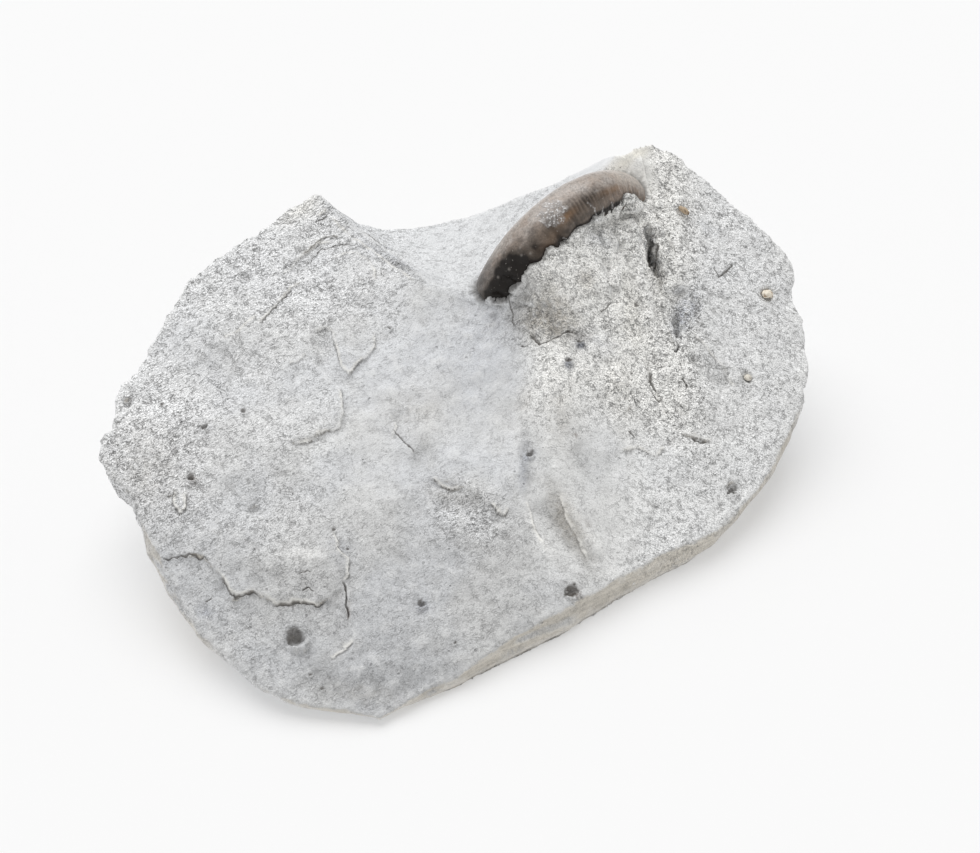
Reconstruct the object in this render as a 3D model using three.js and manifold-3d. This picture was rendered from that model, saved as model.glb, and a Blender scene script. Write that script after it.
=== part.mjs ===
// A loose block of pale grey mudstone with an ammonite standing half out of its top.
// Millimetres, +Z up, origin at the middle of the flat base, +Y towards the back of the block.
//
// The block is a wedge: low along its front edge, high at the back, with a scooped fracture
// between two peaks. The ammonite is a ribbed coil on edge. One arc of its outer whorl shows,
// and the rest of the coil goes on down inside the stone.

import * as THREE from 'three';
import Module from 'manifold-3d';
import { mergeVertices } from 'three/addons/utils/BufferGeometryUtils.js';
import { ParametricGeometry } from 'three/addons/geometries/ParametricGeometry.js';
import { ImprovedNoise } from 'three/addons/math/ImprovedNoise.js';

const wasm = await Module();
wasm.setup();

// ---- Driving dimensions --------------------------------------------------------------

// The two broken faces of the top: height at the origin, and rise for each mm along X and Y.
const mainFace = { height: 16.55, riseX: -0.10, riseY: 0.34 };
const rightFace = { height: 23.84, riseX: -0.314, riseY: 0.484 };

// The edge of the top seen from above, counter-clockwise from the low front corner. Each point
// is x, y, how far the foot of the wall stands inside it, and how far the wall bulges past it.
const rim = [
  [-12.2, -47.9, 1.3, 0.2], [-9.3, -45.8, 0.8, 0], [-5.1, -43, 0, 0], [-1.4, -41, -0.4, 0],
  [3.6, -37.3, -0.7, 0], [8, -34.1, -0.9, 0], [14.7, -29.9, -0.8, 0], [20.9, -25.2, -0.6, 0],
  [25.1, -22, -0.5, 0], [30.3, -18.4, -0.3, 0], [34.8, -16, 0.2, 0], [39.7, -12.7, 1.2, 0.1],
  [44.9, -7.2, 2.4, 0.3], [49.4, -0.4, 3.6, 0.4], [52.3, 4.9, 4.6, 0.5], [55, 10.3, 5.4, 0.6],
  [56.2, 17, 6, 0], [55.8, 23.5, 6.4, 0], [53.9, 28.5, 4.6, 0.6], [54.9, 30.1, 5.8, 0],
  [54.7, 32.9, 6, 0], [50.1, 36.9, 4.5, 1], [45.1, 40.2, 3.5, 1.2], [39.2, 44.4, 3, 1.2],
  [34.2, 46.8, 3, 0.6], [30.7, 47.1, 2.5, 0.85], [26.2, 44.3, 0.5, 3.4], [18, 43.2, -1, 3.4],
  [8, 42.9, -1.5, 3], [-4, 42.9, -0.5, 2.6], [-14, 43, 1.5, 2], [-21.5, 42, 3.5, 1],
  [-24.4, 38.8, 5, 0.5], [-29.6, 35.8, 5, 1], [-35.8, 29.5, 5.5, 1.4], [-41.1, 24.5, 7, 1],
  [-45.1, 20.8, 8, 0.6], [-48.2, 13.7, 9.5, 0.8], [-52, 4.2, 12, 1], [-55, -0.9, 14, 0.6],
  [-54.4, -3.4, 14, 0.6], [-54.6, -5.9, 15, 0.2], [-56.2, -8, 16.5, 0], [-56.1, -10.4, 16, 0.4],
  [-54.7, -13.2, 15, 0.6],
  [-51.2, -15.8, 13.5, 0.8], [-47.3, -22.7, 10.5, 1.4], [-43.5, -28.7, 7.5, 1.8],
  [-38.8, -35.9, 4.5, 1.4], [-34.2, -40.1, 3, 0.8], [-29.3, -44.6, 3.4, 0.2],
  [-23.7, -46.4, 2.6, 0.2], [-17.2, -47.3, 1.8, 0.2],
];
// The rings of the walls from the foot up to the rim: how much of the inset, the bulge and the
// roughness each one takes, and its height as a share of the rim's.
const wallRings = [
  { inset: 1, bulge: 0, rough: 0, height: 0 },
  { inset: 0.45, bulge: 1, rough: 1, height: 0.36 },
  { inset: 0.08, bulge: 1, rough: 0.6, height: 0.72 },
  { inset: 0, bulge: 0, rough: 0, height: 1 },
];
const blank = { width: 124, depth: 106, top: 62 };  // the uncut block, larger than the finished one
const wallRoughness = { size: 9, depth: 1.1 };
const edgeRoughness = { size: 3, depth: 0.5 };

// The line where the two top faces meet, from the back to the front, as x, y.
const foldLine = [
  [4.5, 24], [7, 14.5], [9.5, 4], [11.5, -4], [12.3, -11], [15.2, -16.7], [17.8, -21.6], [22, -28],
];
const foldHalfWidth = 2.7;
const flankWidth = { atY: 20, width: 6, endsAtY: -8 };  // the mound's left flank widens backwards
const foldTrough = { depth: 1.1, fadesAtY: 0 };

// Swellings and dips of the top, as x, y, radius, height.
const swellings = [
  [20, 22.5, 9, 3.5], [18.5, 6, 7.5, 1.5], [26, 38, 4.5, -3.2], [33.2, 30.5, 4, 1.1],
  [35.6, 24.6, 3.5, 0.8],
  [-21.9, -23.8, 4, 0.9], [-2, -9.5, 5, 0.7], [3.5, -13, 3, 0.5], [-34, 16, 10, 0.7],
  [9.8, 12.5, 3.6, -1.3], [10.5, 20.5, 3.6, 1.6], [30.6, 27, 3.2, -1.6], [40.5, 11, 5.5, -0.9],
  [38, 21, 4.5, -0.7],
  [-4, -20, 8, -0.8], [-30, -8, 8, -0.4], [26, -8, 6, -0.6], [-22, -37, 5, -0.7],
];
const lumpiness = [{ size: 11, height: 0.75 }, { size: 5.2, height: 0.4 }];
const moundLumps = { size: 4.4, height: 1.1, left: 8, right: 40, front: -4, back: 36 };

// The scooped fracture: a trough that runs from the front crest to the back of the block. Each
// side climbs as a hyperbola, which is round at the bottom and then has a steady slope.
const scoop = {
  floor: 22.5, rises: -0.16, atY: 34, lowestX: -6.9, driftsX: -0.58,
  left: { slope: 2.5, round: 66 }, right: { slope: 0.9, round: 30 },
};
// The stone that clings to the back of the shell, beside the scoop.
const bolster = {
  height: 8.5, reach: 5.5, fadesFrom: -10, fadesTo: -2, frontSlope: 2.5, crownShare: 0.95,
};

// Layers that have flaked off the top. Each is cut to its depth at one point, and its floor rises
// evenly to meet the top at another, so the ledge round its outline dies away.
const flakeScars = [
  {
    depth: 0.8, deepAt: [-31, -30], endsAt: [-25, -48],
    outline: [
      [-44.3, -25.6], [-39.2, -25.4], [-36.1, -28.7], [-34.2, -31.4], [-31.5, -30.4],
      [-27.5, -32.1], [-25.2, -31.2], [-22.7, -31.8], [-20, -30.2], [-18.2, -28.2],
      [-17.5, -32.9], [-15.5, -40], [-16, -52], [-50, -52], [-56, -30],
    ],
  },
  {
    depth: 0.6, deepAt: [-21, 5], endsAt: [-13, 1],
    outline: [
      [-25.4, 13.9], [-21.8, 13.5], [-21.1, 10.5], [-20.3, 7.2], [-18.8, 6.3], [-17, 8.5],
      [-14.9, 11.7], [-12, 9], [-9, 2], [-8.8, -5.6], [-14, -9], [-21, -10], [-27.9, -6.3],
      [-23.4, -4.4], [-19.5, -1.4], [-19.1, 1.1], [-20.3, 4.2], [-24, 8],
    ],
  },
  {
    depth: 0.7, deepAt: [0, -12], endsAt: [-2.5, -17],
    outline: [[-5, -10.6], [-0.2, -11.4], [3.7, -14.1], [6, -16], [0.6, -19.5], [-5.5, -16.5]],
  },
];

// Pits in the top, as x, y, radius, depth.
const pits = [
  [-24.6, -36.9, 2.1, 2], [16.2, -27.5, 1.5, 1.8], [-6.4, -30.8, 1.1, 1.2], [-40.4, -5.1, 0.9, 1],
  [-41.8, -13.5, 1.1, 1.1], [-34.7, -1.8, 0.8, 0.8], [-31.8, -17.2, 1.3, 0.7], [18, 10.5, 1.1, 1.2],
  [16.2, 6.6, 0.8, 0.9], [42.6, -6.6, 1.9, 1.4], [10.1, -5.7, 1, 1.1], [-52.6, -1.4, 1.2, 1.2],
];

const smallPit = 1.2;  // pits up to this radius have the fewest faces

// Narrow clefts beside the mound, each from x, y to x, y, with its width and depth.
const clefts = [
  { from: [29.2, 33], to: [32.4, 21.4], width: 2.2, depth: 3.4 },
  { from: [33.6, 20], to: [34.6, 13.6], width: 1.4, depth: 1.8 },
];

// The ammonite: a coil on edge. Angles run round the coil from its +X, and it widens towards
// its broken end. All its sizes keep their proportion to the coil's radius as it winds.
const coil = {
  centre: new THREE.Vector3(17.4, 34.7, 22),
  along: new THREE.Vector3(0.74, 0.525, 0.419),
  up: new THREE.Vector3(-0.18, -0.446, 0.877),
  endAngle: 147, endRadius: 16.3, growthPerTurn: 1.67,
  halfHeight: 0.269, halfWidth: 0.266, wholeTurns: 2,
};
const ribs = { perTurn: 46, height: 0.045, stepsEach: 3, shownTo: 8 };
// The hollow at the broken end: its radius at the lip and at its floor as shares of the shell's,
// and how far in the lip and the floor lie, in degrees.
const brokenEnd = { lip: 0.72, floor: 0.5, lipAt: 0.5, floorAt: 9 };
const pocketGap = 0.4;
const stretch = { length: 344, overlap: 6 };  // degrees of coil made at a time
const coilSteps = { outer: 12, inner: 20 };   // degrees from one ring of corners to the next
const coilSides = { outer: 12, inner: 8 };

// Shell-shaped chips broken out of the sides: centre and radii.
const sideChips = [
  { centre: [-50, 37, 8], radii: [24, 20, 20] }, { centre: [-13, 64.5, 6], radii: [24, 22, 11] },
  { centre: [63.5, 43.5, 6], radii: [19, 18, 16] }, { centre: [31, 67.5, 2], radii: [26, 24, 20] },
];

// Bits of other shells in the stone: name, x, y and half sizes.
const fragments = [
  { name: 'shell_fragment_right', x: 49.8, y: 26.2, half: [0.75, 0.7, 0.55], colour: 0xd9cdb4 },
  { name: 'shell_fragment_top', x: 36.1, y: 36.5, half: [0.85, 0.55, 0.45], colour: 0xb9a184 },
  { name: 'shell_fragment_low', x: 45.7, y: 12, half: [0.6, 0.5, 0.4], colour: 0xd6cbb6 },
];

const gridCell = 3;
const weldDistance = 1e-4;

// ---- Turning three.js geometry into solids and back ----------------------------------

function toSolid(geometry) {
  const bare = geometry.clone();
  bare.deleteAttribute('normal');
  bare.deleteAttribute('uv');
  const welded = mergeVertices(bare, weldDistance);
  const corners = welded.index.array;
  const kept = [];
  for (let i = 0; i < corners.length; i += 3) {
    const [a, b, c] = [corners[i], corners[i + 1], corners[i + 2]];
    if (a !== b && b !== c && c !== a) kept.push(a, b, c);
  }
  return new wasm.Manifold(new wasm.Mesh({
    numProp: 3,
    vertProperties: Float32Array.from(welded.attributes.position.array),
    triVerts: Uint32Array.from(kept),
  }));
}

function toGeometry(solid) {
  const mesh = solid.getMesh();
  const geometry = new THREE.BufferGeometry();
  geometry.setAttribute('position', new THREE.BufferAttribute(mesh.vertProperties, mesh.numProp));
  geometry.setIndex(new THREE.BufferAttribute(mesh.triVerts, 1));
  geometry.computeVertexNormals();
  return geometry;
}

// ---- The shape of the top ------------------------------------------------------------

const noise = new ImprovedNoise();
const smooth = (value, low, high) => THREE.MathUtils.smoothstep(value, low, high);
const lumps = (x, y, size, seed) => noise.noise(x / size, y / size, seed);

function faceHeight(face, x, y) {
  return face.height + face.riseX * x + face.riseY * y;
}

// The fold's x at a given y, along its straight stretches.
function foldX(y) {
  let ahead = foldLine.findIndex(([, pointY]) => pointY <= y);
  if (ahead === 0) return foldLine[0][0];
  if (ahead < 0) ahead = foldLine.length - 1;
  const [[x0, y0], [x1, y1]] = [foldLine[ahead - 1], foldLine[ahead]];
  return THREE.MathUtils.mapLinear(Math.max(y, y1), y0, y1, x0, x1);
}

function topHeight(x, y) {
  const pastFold = x - foldX(y);
  const flank = flankWidth.width * smooth(y, flankWidth.endsAtY, flankWidth.atY);
  const share = smooth(pastFold, -foldHalfWidth, foldHalfWidth + flank);
  let z = THREE.MathUtils.lerp(faceHeight(mainFace, x, y), faceHeight(rightFace, x, y), share);
  const inTrough = 1 - smooth(Math.abs(pastFold), 0, foldHalfWidth);
  z -= foldTrough.depth * inTrough * smooth(-y, foldTrough.fadesAtY, -flankWidth.endsAtY);
  for (const [atX, atY, radius, height] of swellings) {
    z += height * Math.exp(-((x - atX) ** 2 + (y - atY) ** 2) / radius ** 2);
  }
  for (const { size, height } of lumpiness) z += height * lumps(x, y, size, size);
  const onMound = smooth(x, moundLumps.left, moundLumps.left + 8)
    * smooth(-x, -moundLumps.right, 8 - moundLumps.right)
    * smooth(y, moundLumps.front, moundLumps.front + 8);
  return z + onMound * moundLumps.height * lumps(x, y, moundLumps.size, 3);
}

function scoopHeight(x, y) {
  const across = x - scoop.lowestX - scoop.driftsX * (y - scoop.atY);
  const side = across > 0 ? scoop.right : scoop.left;
  const z = scoop.floor + scoop.rises * (y - scoop.atY)
    + Math.hypot(side.round, side.slope * across) - side.round;
  const crown = coil.centre.clone().addScaledVector(coil.up, coil.endRadius * bolster.crownShare);
  const way = new THREE.Vector2(coil.along.x, coil.along.y).normalize();
  const [fromX, fromY] = [x - crown.x, y - crown.y];
  const alongShell = fromX * way.x + fromY * way.y;
  const behindShell = fromY * way.x - fromX * way.y;
  const hold = behindShell > 0
    ? bolster.height * Math.exp(-((behindShell / bolster.reach) ** 2))
    : bolster.height - bolster.frontSlope * behindShell;
  return z + hold * smooth(alongShell, bolster.fadesFrom, bolster.fadesTo);
}

// A box whose top follows a height function. The edges of the block lie inside it.
function groundUnder(heightAt, cell) {
  const { width, depth } = blank;
  const ground = new THREE.BoxGeometry(
    width, depth, 10, Math.round(width / cell), Math.round(depth / cell), 1,
  );
  const place = ground.attributes.position;
  for (let i = 0; i < place.count; i++) {
    if (place.getZ(i) > 0) place.setZ(i, heightAt(place.getX(i), place.getY(i)));
  }
  return toSolid(ground);
}

// ---- The stone -----------------------------------------------------------------------

// The sides of the block, as rings that climb from the foot, past the rim, to the blank top.
function blockWalls() {
  const slices = rim.length * 2;
  const outward = (index, reach) => {
    const [before, after] = [rim.at(index - reach), rim[(index + reach) % rim.length]];
    return new THREE.Vector2(after[1] - before[1], before[0] - after[0]).normalize();
  };
  const ringPoint = (index, ring, target) => {
    const [x, y, inset, bulge] = rim[index % rim.length];
    if (ring === wallRings.length) return target.set(x, y, blank.top);
    const level = wallRings[ring];
    const rough = wallRoughness.depth * lumps(x, y, wallRoughness.size, ring);
    const offset = level.bulge * bulge - level.inset * inset + level.rough * rough;
    const way = ring === 0 ? new THREE.Vector2(x, y).normalize() : outward(index % rim.length, 3);
    return target.set(x + way.x * offset, y + way.y * offset, level.height * topHeight(x, y));
  };
  const [near, far] = [new THREE.Vector3(), new THREE.Vector3()];
  const levels = wallRings.length + 2;
  const walls = new ParametricGeometry((u, v, target) => {
    const level = Math.round(v * levels);
    if (level === 0) return target.set(0, 0, 0);
    if (level === levels) return target.set(0, 0, blank.top);
    const step = Math.round(u * slices) % slices;
    const index = Math.floor(step / 2);
    ringPoint(index, level - 1, near);
    if (step % 2 === 0) return target.copy(near);
    ringPoint(index + 1, level - 1, far);
    target.lerpVectors(near, far, 0.5);
    if (level > 1) {
      const way = outward(index, 1);
      const push = edgeRoughness.depth * lumps(target.x, target.y, edgeRoughness.size, 7);
      target.x += way.x * push;
      target.y += way.y * push;
    }
  }, slices, levels);
  return toSolid(walls);
}

function flakeSolid({ depth, deepAt, endsAt, outline }) {
  const shape = new THREE.Shape(outline.map(([x, y]) => new THREE.Vector2(x, y)));
  const column = new THREE.ExtrudeGeometry(shape, { depth: blank.top, bevelEnabled: false });
  const start = new THREE.Vector2(...deepAt);
  const run = new THREE.Vector2(...endsAt).sub(start);
  const floor = groundUnder((x, y) => {
    const share = new THREE.Vector2(x, y).sub(start).dot(run) / run.lengthSq();
    return topHeight(x, y) - depth * (1 - Math.max(share, 0));
  }, gridCell);
  return toSolid(column).subtract(floor);
}

function chipSolid({ centre, radii }) {
  const chip = new THREE.SphereGeometry(1, 20, 12);
  chip.scale(...radii);
  chip.translate(...centre);
  return toSolid(chip);
}

function pitSolid([x, y, radius, depth]) {
  const pit = new THREE.IcosahedronGeometry(1, radius > smallPit ? 1 : 0);
  pit.scale(radius, radius * 0.8, depth);
  pit.rotateZ(x);
  pit.translate(x, y, topHeight(x, y));
  return toSolid(pit);
}

// A cleft is a long double-ended wedge, open upwards.
function cleftSolid({ from, to, width, depth }) {
  const [start, end] = [new THREE.Vector2(...from), new THREE.Vector2(...to)];
  const middle = start.clone().lerp(end, 0.5);
  const cleft = new THREE.OctahedronGeometry(1, 1);
  cleft.scale(start.distanceTo(end) / 2, width / 2, depth);
  const rise = (topHeight(...to) - topHeight(...from)) / start.distanceTo(end);
  cleft.rotateY(-Math.atan(rise));
  cleft.rotateZ(end.clone().sub(start).angle());
  cleft.translate(middle.x, middle.y, topHeight(middle.x, middle.y));
  return toSolid(cleft);
}

// ---- The ammonite --------------------------------------------------------------------

const coilFrame = new THREE.Matrix4();
{
  const along = coil.along.clone().normalize();
  const axis = along.clone().cross(coil.up).normalize();
  const up = axis.clone().cross(along);
  coilFrame.makeBasis(along, up, axis).setPosition(coil.centre);
}

// A closed stretch of the coil, through stations that give an angle and a share of full section.
function whorl(stations, sides, extra) {
  const tube = new ParametricGeometry((u, v, target) => {
    const { angle, share } = stations[Math.round(v * (stations.length - 1))];
    const radius = coil.endRadius * coil.growthPerTurn ** ((angle - coil.endAngle) / 360);
    const around = 2 * Math.PI * (Math.round(u * sides) % sides) / sides;
    const rib = 1 + (angle >= ribs.shownTo ? ribs.height : 0)
      * Math.cos(THREE.MathUtils.degToRad(angle * ribs.perTurn)) * (1 - Math.cos(around)) / 2;
    const out = radius + share * (coil.halfHeight * radius * rib + extra) * Math.cos(around);
    const side = share * (coil.halfWidth * radius * rib + extra) * Math.sin(around);
    const turn = THREE.MathUtils.degToRad(angle);
    target.set(out * Math.cos(turn), out * Math.sin(turn), side);
  }, sides, stations.length - 1);
  return toSolid(tube);
}

function stationsBetween(high, low, step) {
  const count = Math.ceil((high - low) / step);
  const ring = (_, i) => ({ angle: high - (high - low) * i / count, share: 1 });
  return Array.from({ length: count + 1 }, ring);
}

// The coil is made in stretches of less than a turn, so that no stretch runs into itself.
function ammoniteSolid() {
  const end = coil.endAngle;
  const fineStep = 360 / ribs.perTurn / ribs.stepsEach;
  const lastAngle = end - 360 * coil.wholeTurns;
  let shell = whorl([
    { angle: end - brokenEnd.floorAt, share: 0 },
    { angle: end - brokenEnd.floorAt, share: brokenEnd.floor },
    { angle: end - brokenEnd.lipAt, share: brokenEnd.lip },
    ...stationsBetween(end, ribs.shownTo, fineStep),
    ...stationsBetween(ribs.shownTo - coilSteps.outer, end - stretch.length, coilSteps.outer),
    { angle: end - stretch.length, share: 0 },
  ], coilSides.outer, 0);
  const advance = stretch.length - stretch.overlap;
  for (let high = end - advance; high > lastAngle; high -= advance) {
    const low = Math.max(high - stretch.length, lastAngle);
    const inner = whorl([
      { angle: high, share: 0 },
      ...stationsBetween(high, low, coilSteps.inner),
      { angle: low, share: 0 },
    ], coilSides.inner, 0);
    shell = shell.add(inner);
  }
  return shell;
}

// The hollow that the coil fills in the stone: a tube round the outer whorl, and a disc.
function coilPocket() {
  const [high, low] = [coil.endAngle + 1, coil.endAngle - stretch.length];
  const tube = whorl([
    { angle: high, share: 0 },
    ...stationsBetween(high, low, coilSteps.outer),
    { angle: low, share: 0 },
  ], coilSides.outer, pocketGap);
  const innerRadius = coil.endRadius / coil.growthPerTurn * (1 + coil.halfHeight) + pocketGap;
  const innerWidth = coil.endRadius / coil.growthPerTurn * coil.halfWidth + pocketGap;
  const disc = new THREE.CylinderGeometry(innerRadius, innerRadius, innerWidth * 2, 24);
  disc.rotateX(Math.PI / 2);
  return tube.add(toSolid(disc)).transform(coilFrame.elements);
}

// ---- Assembly ------------------------------------------------------------------------

function fragmentSolid({ x, y, half }, extra) {
  const bit = new THREE.IcosahedronGeometry(1, 1);
  bit.scale(...half.map((size) => size + extra));
  bit.translate(x, y, topHeight(x, y));
  return toSolid(bit);
}

function matrixSolid() {
  const top = groundUnder(topHeight, gridCell);
  let stone = blockWalls().intersect(top).intersect(groundUnder(scoopHeight, gridCell * 1.6));
  for (const scar of flakeScars) stone = stone.subtract(flakeSolid(scar));
  for (const chip of sideChips) stone = stone.subtract(chipSolid(chip));
  for (const pit of pits) stone = stone.subtract(pitSolid(pit));
  for (const cleft of clefts) stone = stone.subtract(cleftSolid(cleft));
  for (const fragment of fragments) stone = stone.subtract(fragmentSolid(fragment, pocketGap));
  return stone.subtract(coilPocket());
}

const mudstone = new THREE.MeshStandardMaterial({ color: 0xc8cacb, roughness: 0.95, metalness: 0 });
const brownShell = new THREE.MeshStandardMaterial({ color: 0x6b6058, roughness: 0.4, metalness: 0 });

const matrix = new THREE.Mesh(toGeometry(matrixSolid()), mudstone);
matrix.name = 'matrix';

const ammonite = new THREE.Mesh(toGeometry(ammoniteSolid()), brownShell);
ammonite.name = 'ammonite';
coilFrame.decompose(ammonite.position, ammonite.quaternion, ammonite.scale);

const group = new THREE.Group();
group.add(matrix, ammonite);

for (const fragment of fragments) {
  const shell = new THREE.MeshStandardMaterial({ color: fragment.colour, roughness: 0.6 });
  const bit = new THREE.Mesh(toGeometry(fragmentSolid(fragment, 0)), shell);
  bit.name = fragment.name;
  group.add(bit);
}

// The origin is at the middle of the finished block's base.
const middle = new THREE.Box3().setFromObject(group, true).getCenter(new THREE.Vector3());
group.position.set(-middle.x, -middle.y, 0);

export default group;
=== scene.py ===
"""A block of pale grey mudstone with a brown ammonite standing half out of its top.

Metres, +Z up. The frame gives the solids. This file gives them broken surfaces, grain and colour.
"""

import math

import bpy
import numpy as np
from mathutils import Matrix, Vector, kdtree


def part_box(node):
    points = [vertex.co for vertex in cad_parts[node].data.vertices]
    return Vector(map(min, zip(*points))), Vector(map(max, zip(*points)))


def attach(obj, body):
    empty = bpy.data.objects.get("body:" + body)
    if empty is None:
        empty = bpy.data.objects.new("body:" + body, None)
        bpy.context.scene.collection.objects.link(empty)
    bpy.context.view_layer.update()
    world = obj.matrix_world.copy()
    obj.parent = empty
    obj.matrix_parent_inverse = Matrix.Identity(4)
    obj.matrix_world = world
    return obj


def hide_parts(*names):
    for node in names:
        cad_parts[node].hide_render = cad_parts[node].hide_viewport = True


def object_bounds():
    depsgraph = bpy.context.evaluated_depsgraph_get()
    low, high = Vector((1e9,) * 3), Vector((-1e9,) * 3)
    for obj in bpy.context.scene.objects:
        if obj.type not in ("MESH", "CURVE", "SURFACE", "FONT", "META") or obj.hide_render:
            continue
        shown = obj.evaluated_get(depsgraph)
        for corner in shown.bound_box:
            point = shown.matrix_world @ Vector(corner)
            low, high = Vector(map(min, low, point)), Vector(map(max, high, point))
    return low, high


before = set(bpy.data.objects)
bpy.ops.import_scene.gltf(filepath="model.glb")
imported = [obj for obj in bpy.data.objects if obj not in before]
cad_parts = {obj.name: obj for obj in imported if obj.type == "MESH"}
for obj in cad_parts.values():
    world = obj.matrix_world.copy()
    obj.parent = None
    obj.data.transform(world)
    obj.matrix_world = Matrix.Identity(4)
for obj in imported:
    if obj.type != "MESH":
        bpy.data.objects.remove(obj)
solid_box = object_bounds()

# ---- The camera ----------------------------------------------------------------------
# It looks down at the low front edge of the block from a hand's reach away.

looked_at = Vector((0.0037, -0.0011, 0.016))
camera_rise = math.radians(42)
camera_reach = 0.3

camera_data = bpy.data.cameras.new("camera")
camera_data.lens = 70
camera_data.sensor_width = 36
camera_data.clip_start = 0.01
camera = bpy.data.objects.new("camera", camera_data)
bpy.context.collection.objects.link(camera)
camera.location = looked_at + camera_reach * Vector((0, -math.cos(camera_rise), math.sin(camera_rise)))
camera.rotation_euler = (looked_at - camera.location).to_track_quat("-Z", "Y").to_euler()
bpy.context.scene.camera = camera

# ---- The block of mudstone -----------------------------------------------------------
# One broken lump of soft grey stone. Its solid has the facets of a coarse cut, so the surface
# is remeshed finely, the facets are eased away, and the broken layers and grain are put back.


def pick(piece):
    """Makes a piece the only one selected and the active one."""
    bpy.ops.object.select_all(action="DESELECT")
    piece.select_set(True)
    bpy.context.view_layer.objects.active = piece


def copy_of_solid(node_name, piece_name):
    """A new piece with the solid's mesh, its loose triangles merged."""
    piece = bpy.data.objects.new(piece_name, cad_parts[node_name].data.copy())
    bpy.context.collection.objects.link(piece)
    piece.data.materials.clear()
    pick(piece)
    bpy.ops.object.mode_set(mode="EDIT")
    bpy.ops.mesh.select_all(action="SELECT")
    bpy.ops.mesh.remove_doubles(threshold=1e-6)
    bpy.ops.object.mode_set(mode="OBJECT")
    return piece


def apply_modifier(piece, kind, **settings):
    """Adds one modifier and applies it."""
    pick(piece)
    modifier = piece.modifiers.new(kind, kind)
    for key, value in settings.items():
        setattr(modifier, key, value)
    bpy.ops.object.modifier_apply(modifier=modifier.name)


def read(parts, key, width, kind=float):
    values = np.empty(len(parts) * width, dtype=kind)
    parts.foreach_get(key, values)
    return values.reshape(-1, width)


def corners_of(piece):
    """The places of a piece's vertices, in millimetres."""
    return read(piece.data.vertices, "co", 3) * 1000


def put_corners(piece, places):
    piece.data.vertices.foreach_set("co", (places / 1000).ravel())
    piece.data.update()


def normals_of(piece):
    return read(piece.data.vertex_normals, "vector", 3)


def edges_of(piece):
    """The numbers of the two vertices that each edge joins."""
    return read(piece.data.edges, "vertices", 2, np.int32)


def ease(values, low, high):
    """0 below low, 1 above high, and a smooth step between them."""
    t = np.clip((values - low) / (high - low), 0, 1)
    return t * t * (3 - 2 * t)


def lumps(places, size, seed):
    """Smooth random lumps about as far apart as size, in millimetres, from about -1 to 1."""
    at = places / size + seed * 17.3
    cell = np.floor(at).astype(np.int64)
    inside = at - cell
    blend = inside ** 3 * (inside * (inside * 6 - 15) + 10)
    total = np.zeros(len(at))
    for corner in range(8):
        step = np.array([corner & 1, corner >> 1 & 1, corner >> 2])
        key = (cell + step) @ np.array([73856093, 19349663, 83492791])
        key = (key ^ key >> 13) * 1274126177
        key ^= key >> 15
        slope = np.stack([key & 1023, key >> 10 & 1023, key >> 20 & 1023], 1) / 511.5 - 1
        share = np.prod(np.where(step, blend, 1 - blend), axis=1)
        total += share * np.sum(slope * (inside - step), axis=1)
    return total * 1.6


def along_line(places, line):
    """How far each place is from a line in plan, which side of it, and how far along it, 0 to 1."""
    line = np.array(line, dtype=float)
    nearest = np.full(len(places), 1e9)
    side = np.ones(len(places))
    share = np.zeros(len(places))
    lengths = np.hypot(*np.diff(line, axis=0).T)
    starts = np.concatenate([[0], np.cumsum(lengths)])
    for index, length in enumerate(lengths):
        way = (line[index + 1] - line[index]) / length
        offset = places[:, :2] - line[index]
        run = np.clip(offset @ way, 0, length)
        gap = offset - run[:, None] * way
        distance = np.hypot(gap[:, 0], gap[:, 1])
        closer = distance < nearest
        nearest = np.where(closer, distance, nearest)
        turn = way[0] * gap[:, 1] - way[1] * gap[:, 0]
        side = np.where(closer, np.sign(turn), side)
        share = np.where(closer, (starts[index] + run) / starts[-1], share)
    return nearest, side, share


# The shell's coil, as in the solid: its frame, and how its sizes grow along it.
coil_centre = np.array([17.4, 34.7, 22])
coil_along = np.array([0.74, 0.525, 0.419])
coil_along /= np.linalg.norm(coil_along)
coil_axis = np.cross(coil_along, [-0.18, -0.446, 0.877])
coil_axis /= np.linalg.norm(coil_axis)
coil_up = np.cross(coil_axis, coil_along)
coil_end_angle = 147
coil_end_radius = 16.3
coil_growth = 1.67
coil_thickness = 0.268
open_end_angle = 146.5
open_end_slant = 0.11
# Where the stone meets the shell's near side: angle along the coil, angle round the tube.
shell_meets = [
    (-4, 56), (20, 66), (30, 60), (35, 52), (45, 55), (53, 74), (62, 82), (70, 77), (78, 84),
    (90, 77), (97, 83), (100, 74), (107, 62), (112, 70), (116, 60), (122, 53), (131, 52), (150, 44),
]


def round_coil(places):
    """Angles along the coil and round its tube, the gap to its skin, and the coil's radius there.

    The last value tells how far inside the bare part of the skin a place lies, in degrees.
    """
    offset = places - coil_centre
    run, rise, side = offset @ coil_along, offset @ coil_up, offset @ coil_axis
    angle = np.degrees(np.arctan2(rise, run))
    angle = np.where(angle < coil_end_angle - 344, angle + 360, angle)
    angle = np.where(angle > coil_end_angle + 8, angle - 360, angle)
    radius = coil_end_radius * coil_growth ** ((angle - coil_end_angle) / 360)
    outward = np.hypot(run, rise) - radius
    around = np.degrees(np.arctan2(side, outward))
    skin_gap = np.hypot(outward, side) - radius * coil_thickness
    line = np.interp(angle, *np.transpose(shell_meets))
    bare = np.minimum(line - around, 3 * (open_end_angle - open_end_slant * around - angle))
    return angle, around, skin_gap, radius, bare


block_voxel = 0.00042
block_most_faces = 192000
facet_ease_turns = 40
facet_levels = 20
sharp_angle = math.radians(47)
crest_angle = math.radians(14)
sharp_step = 0.0004

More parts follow.
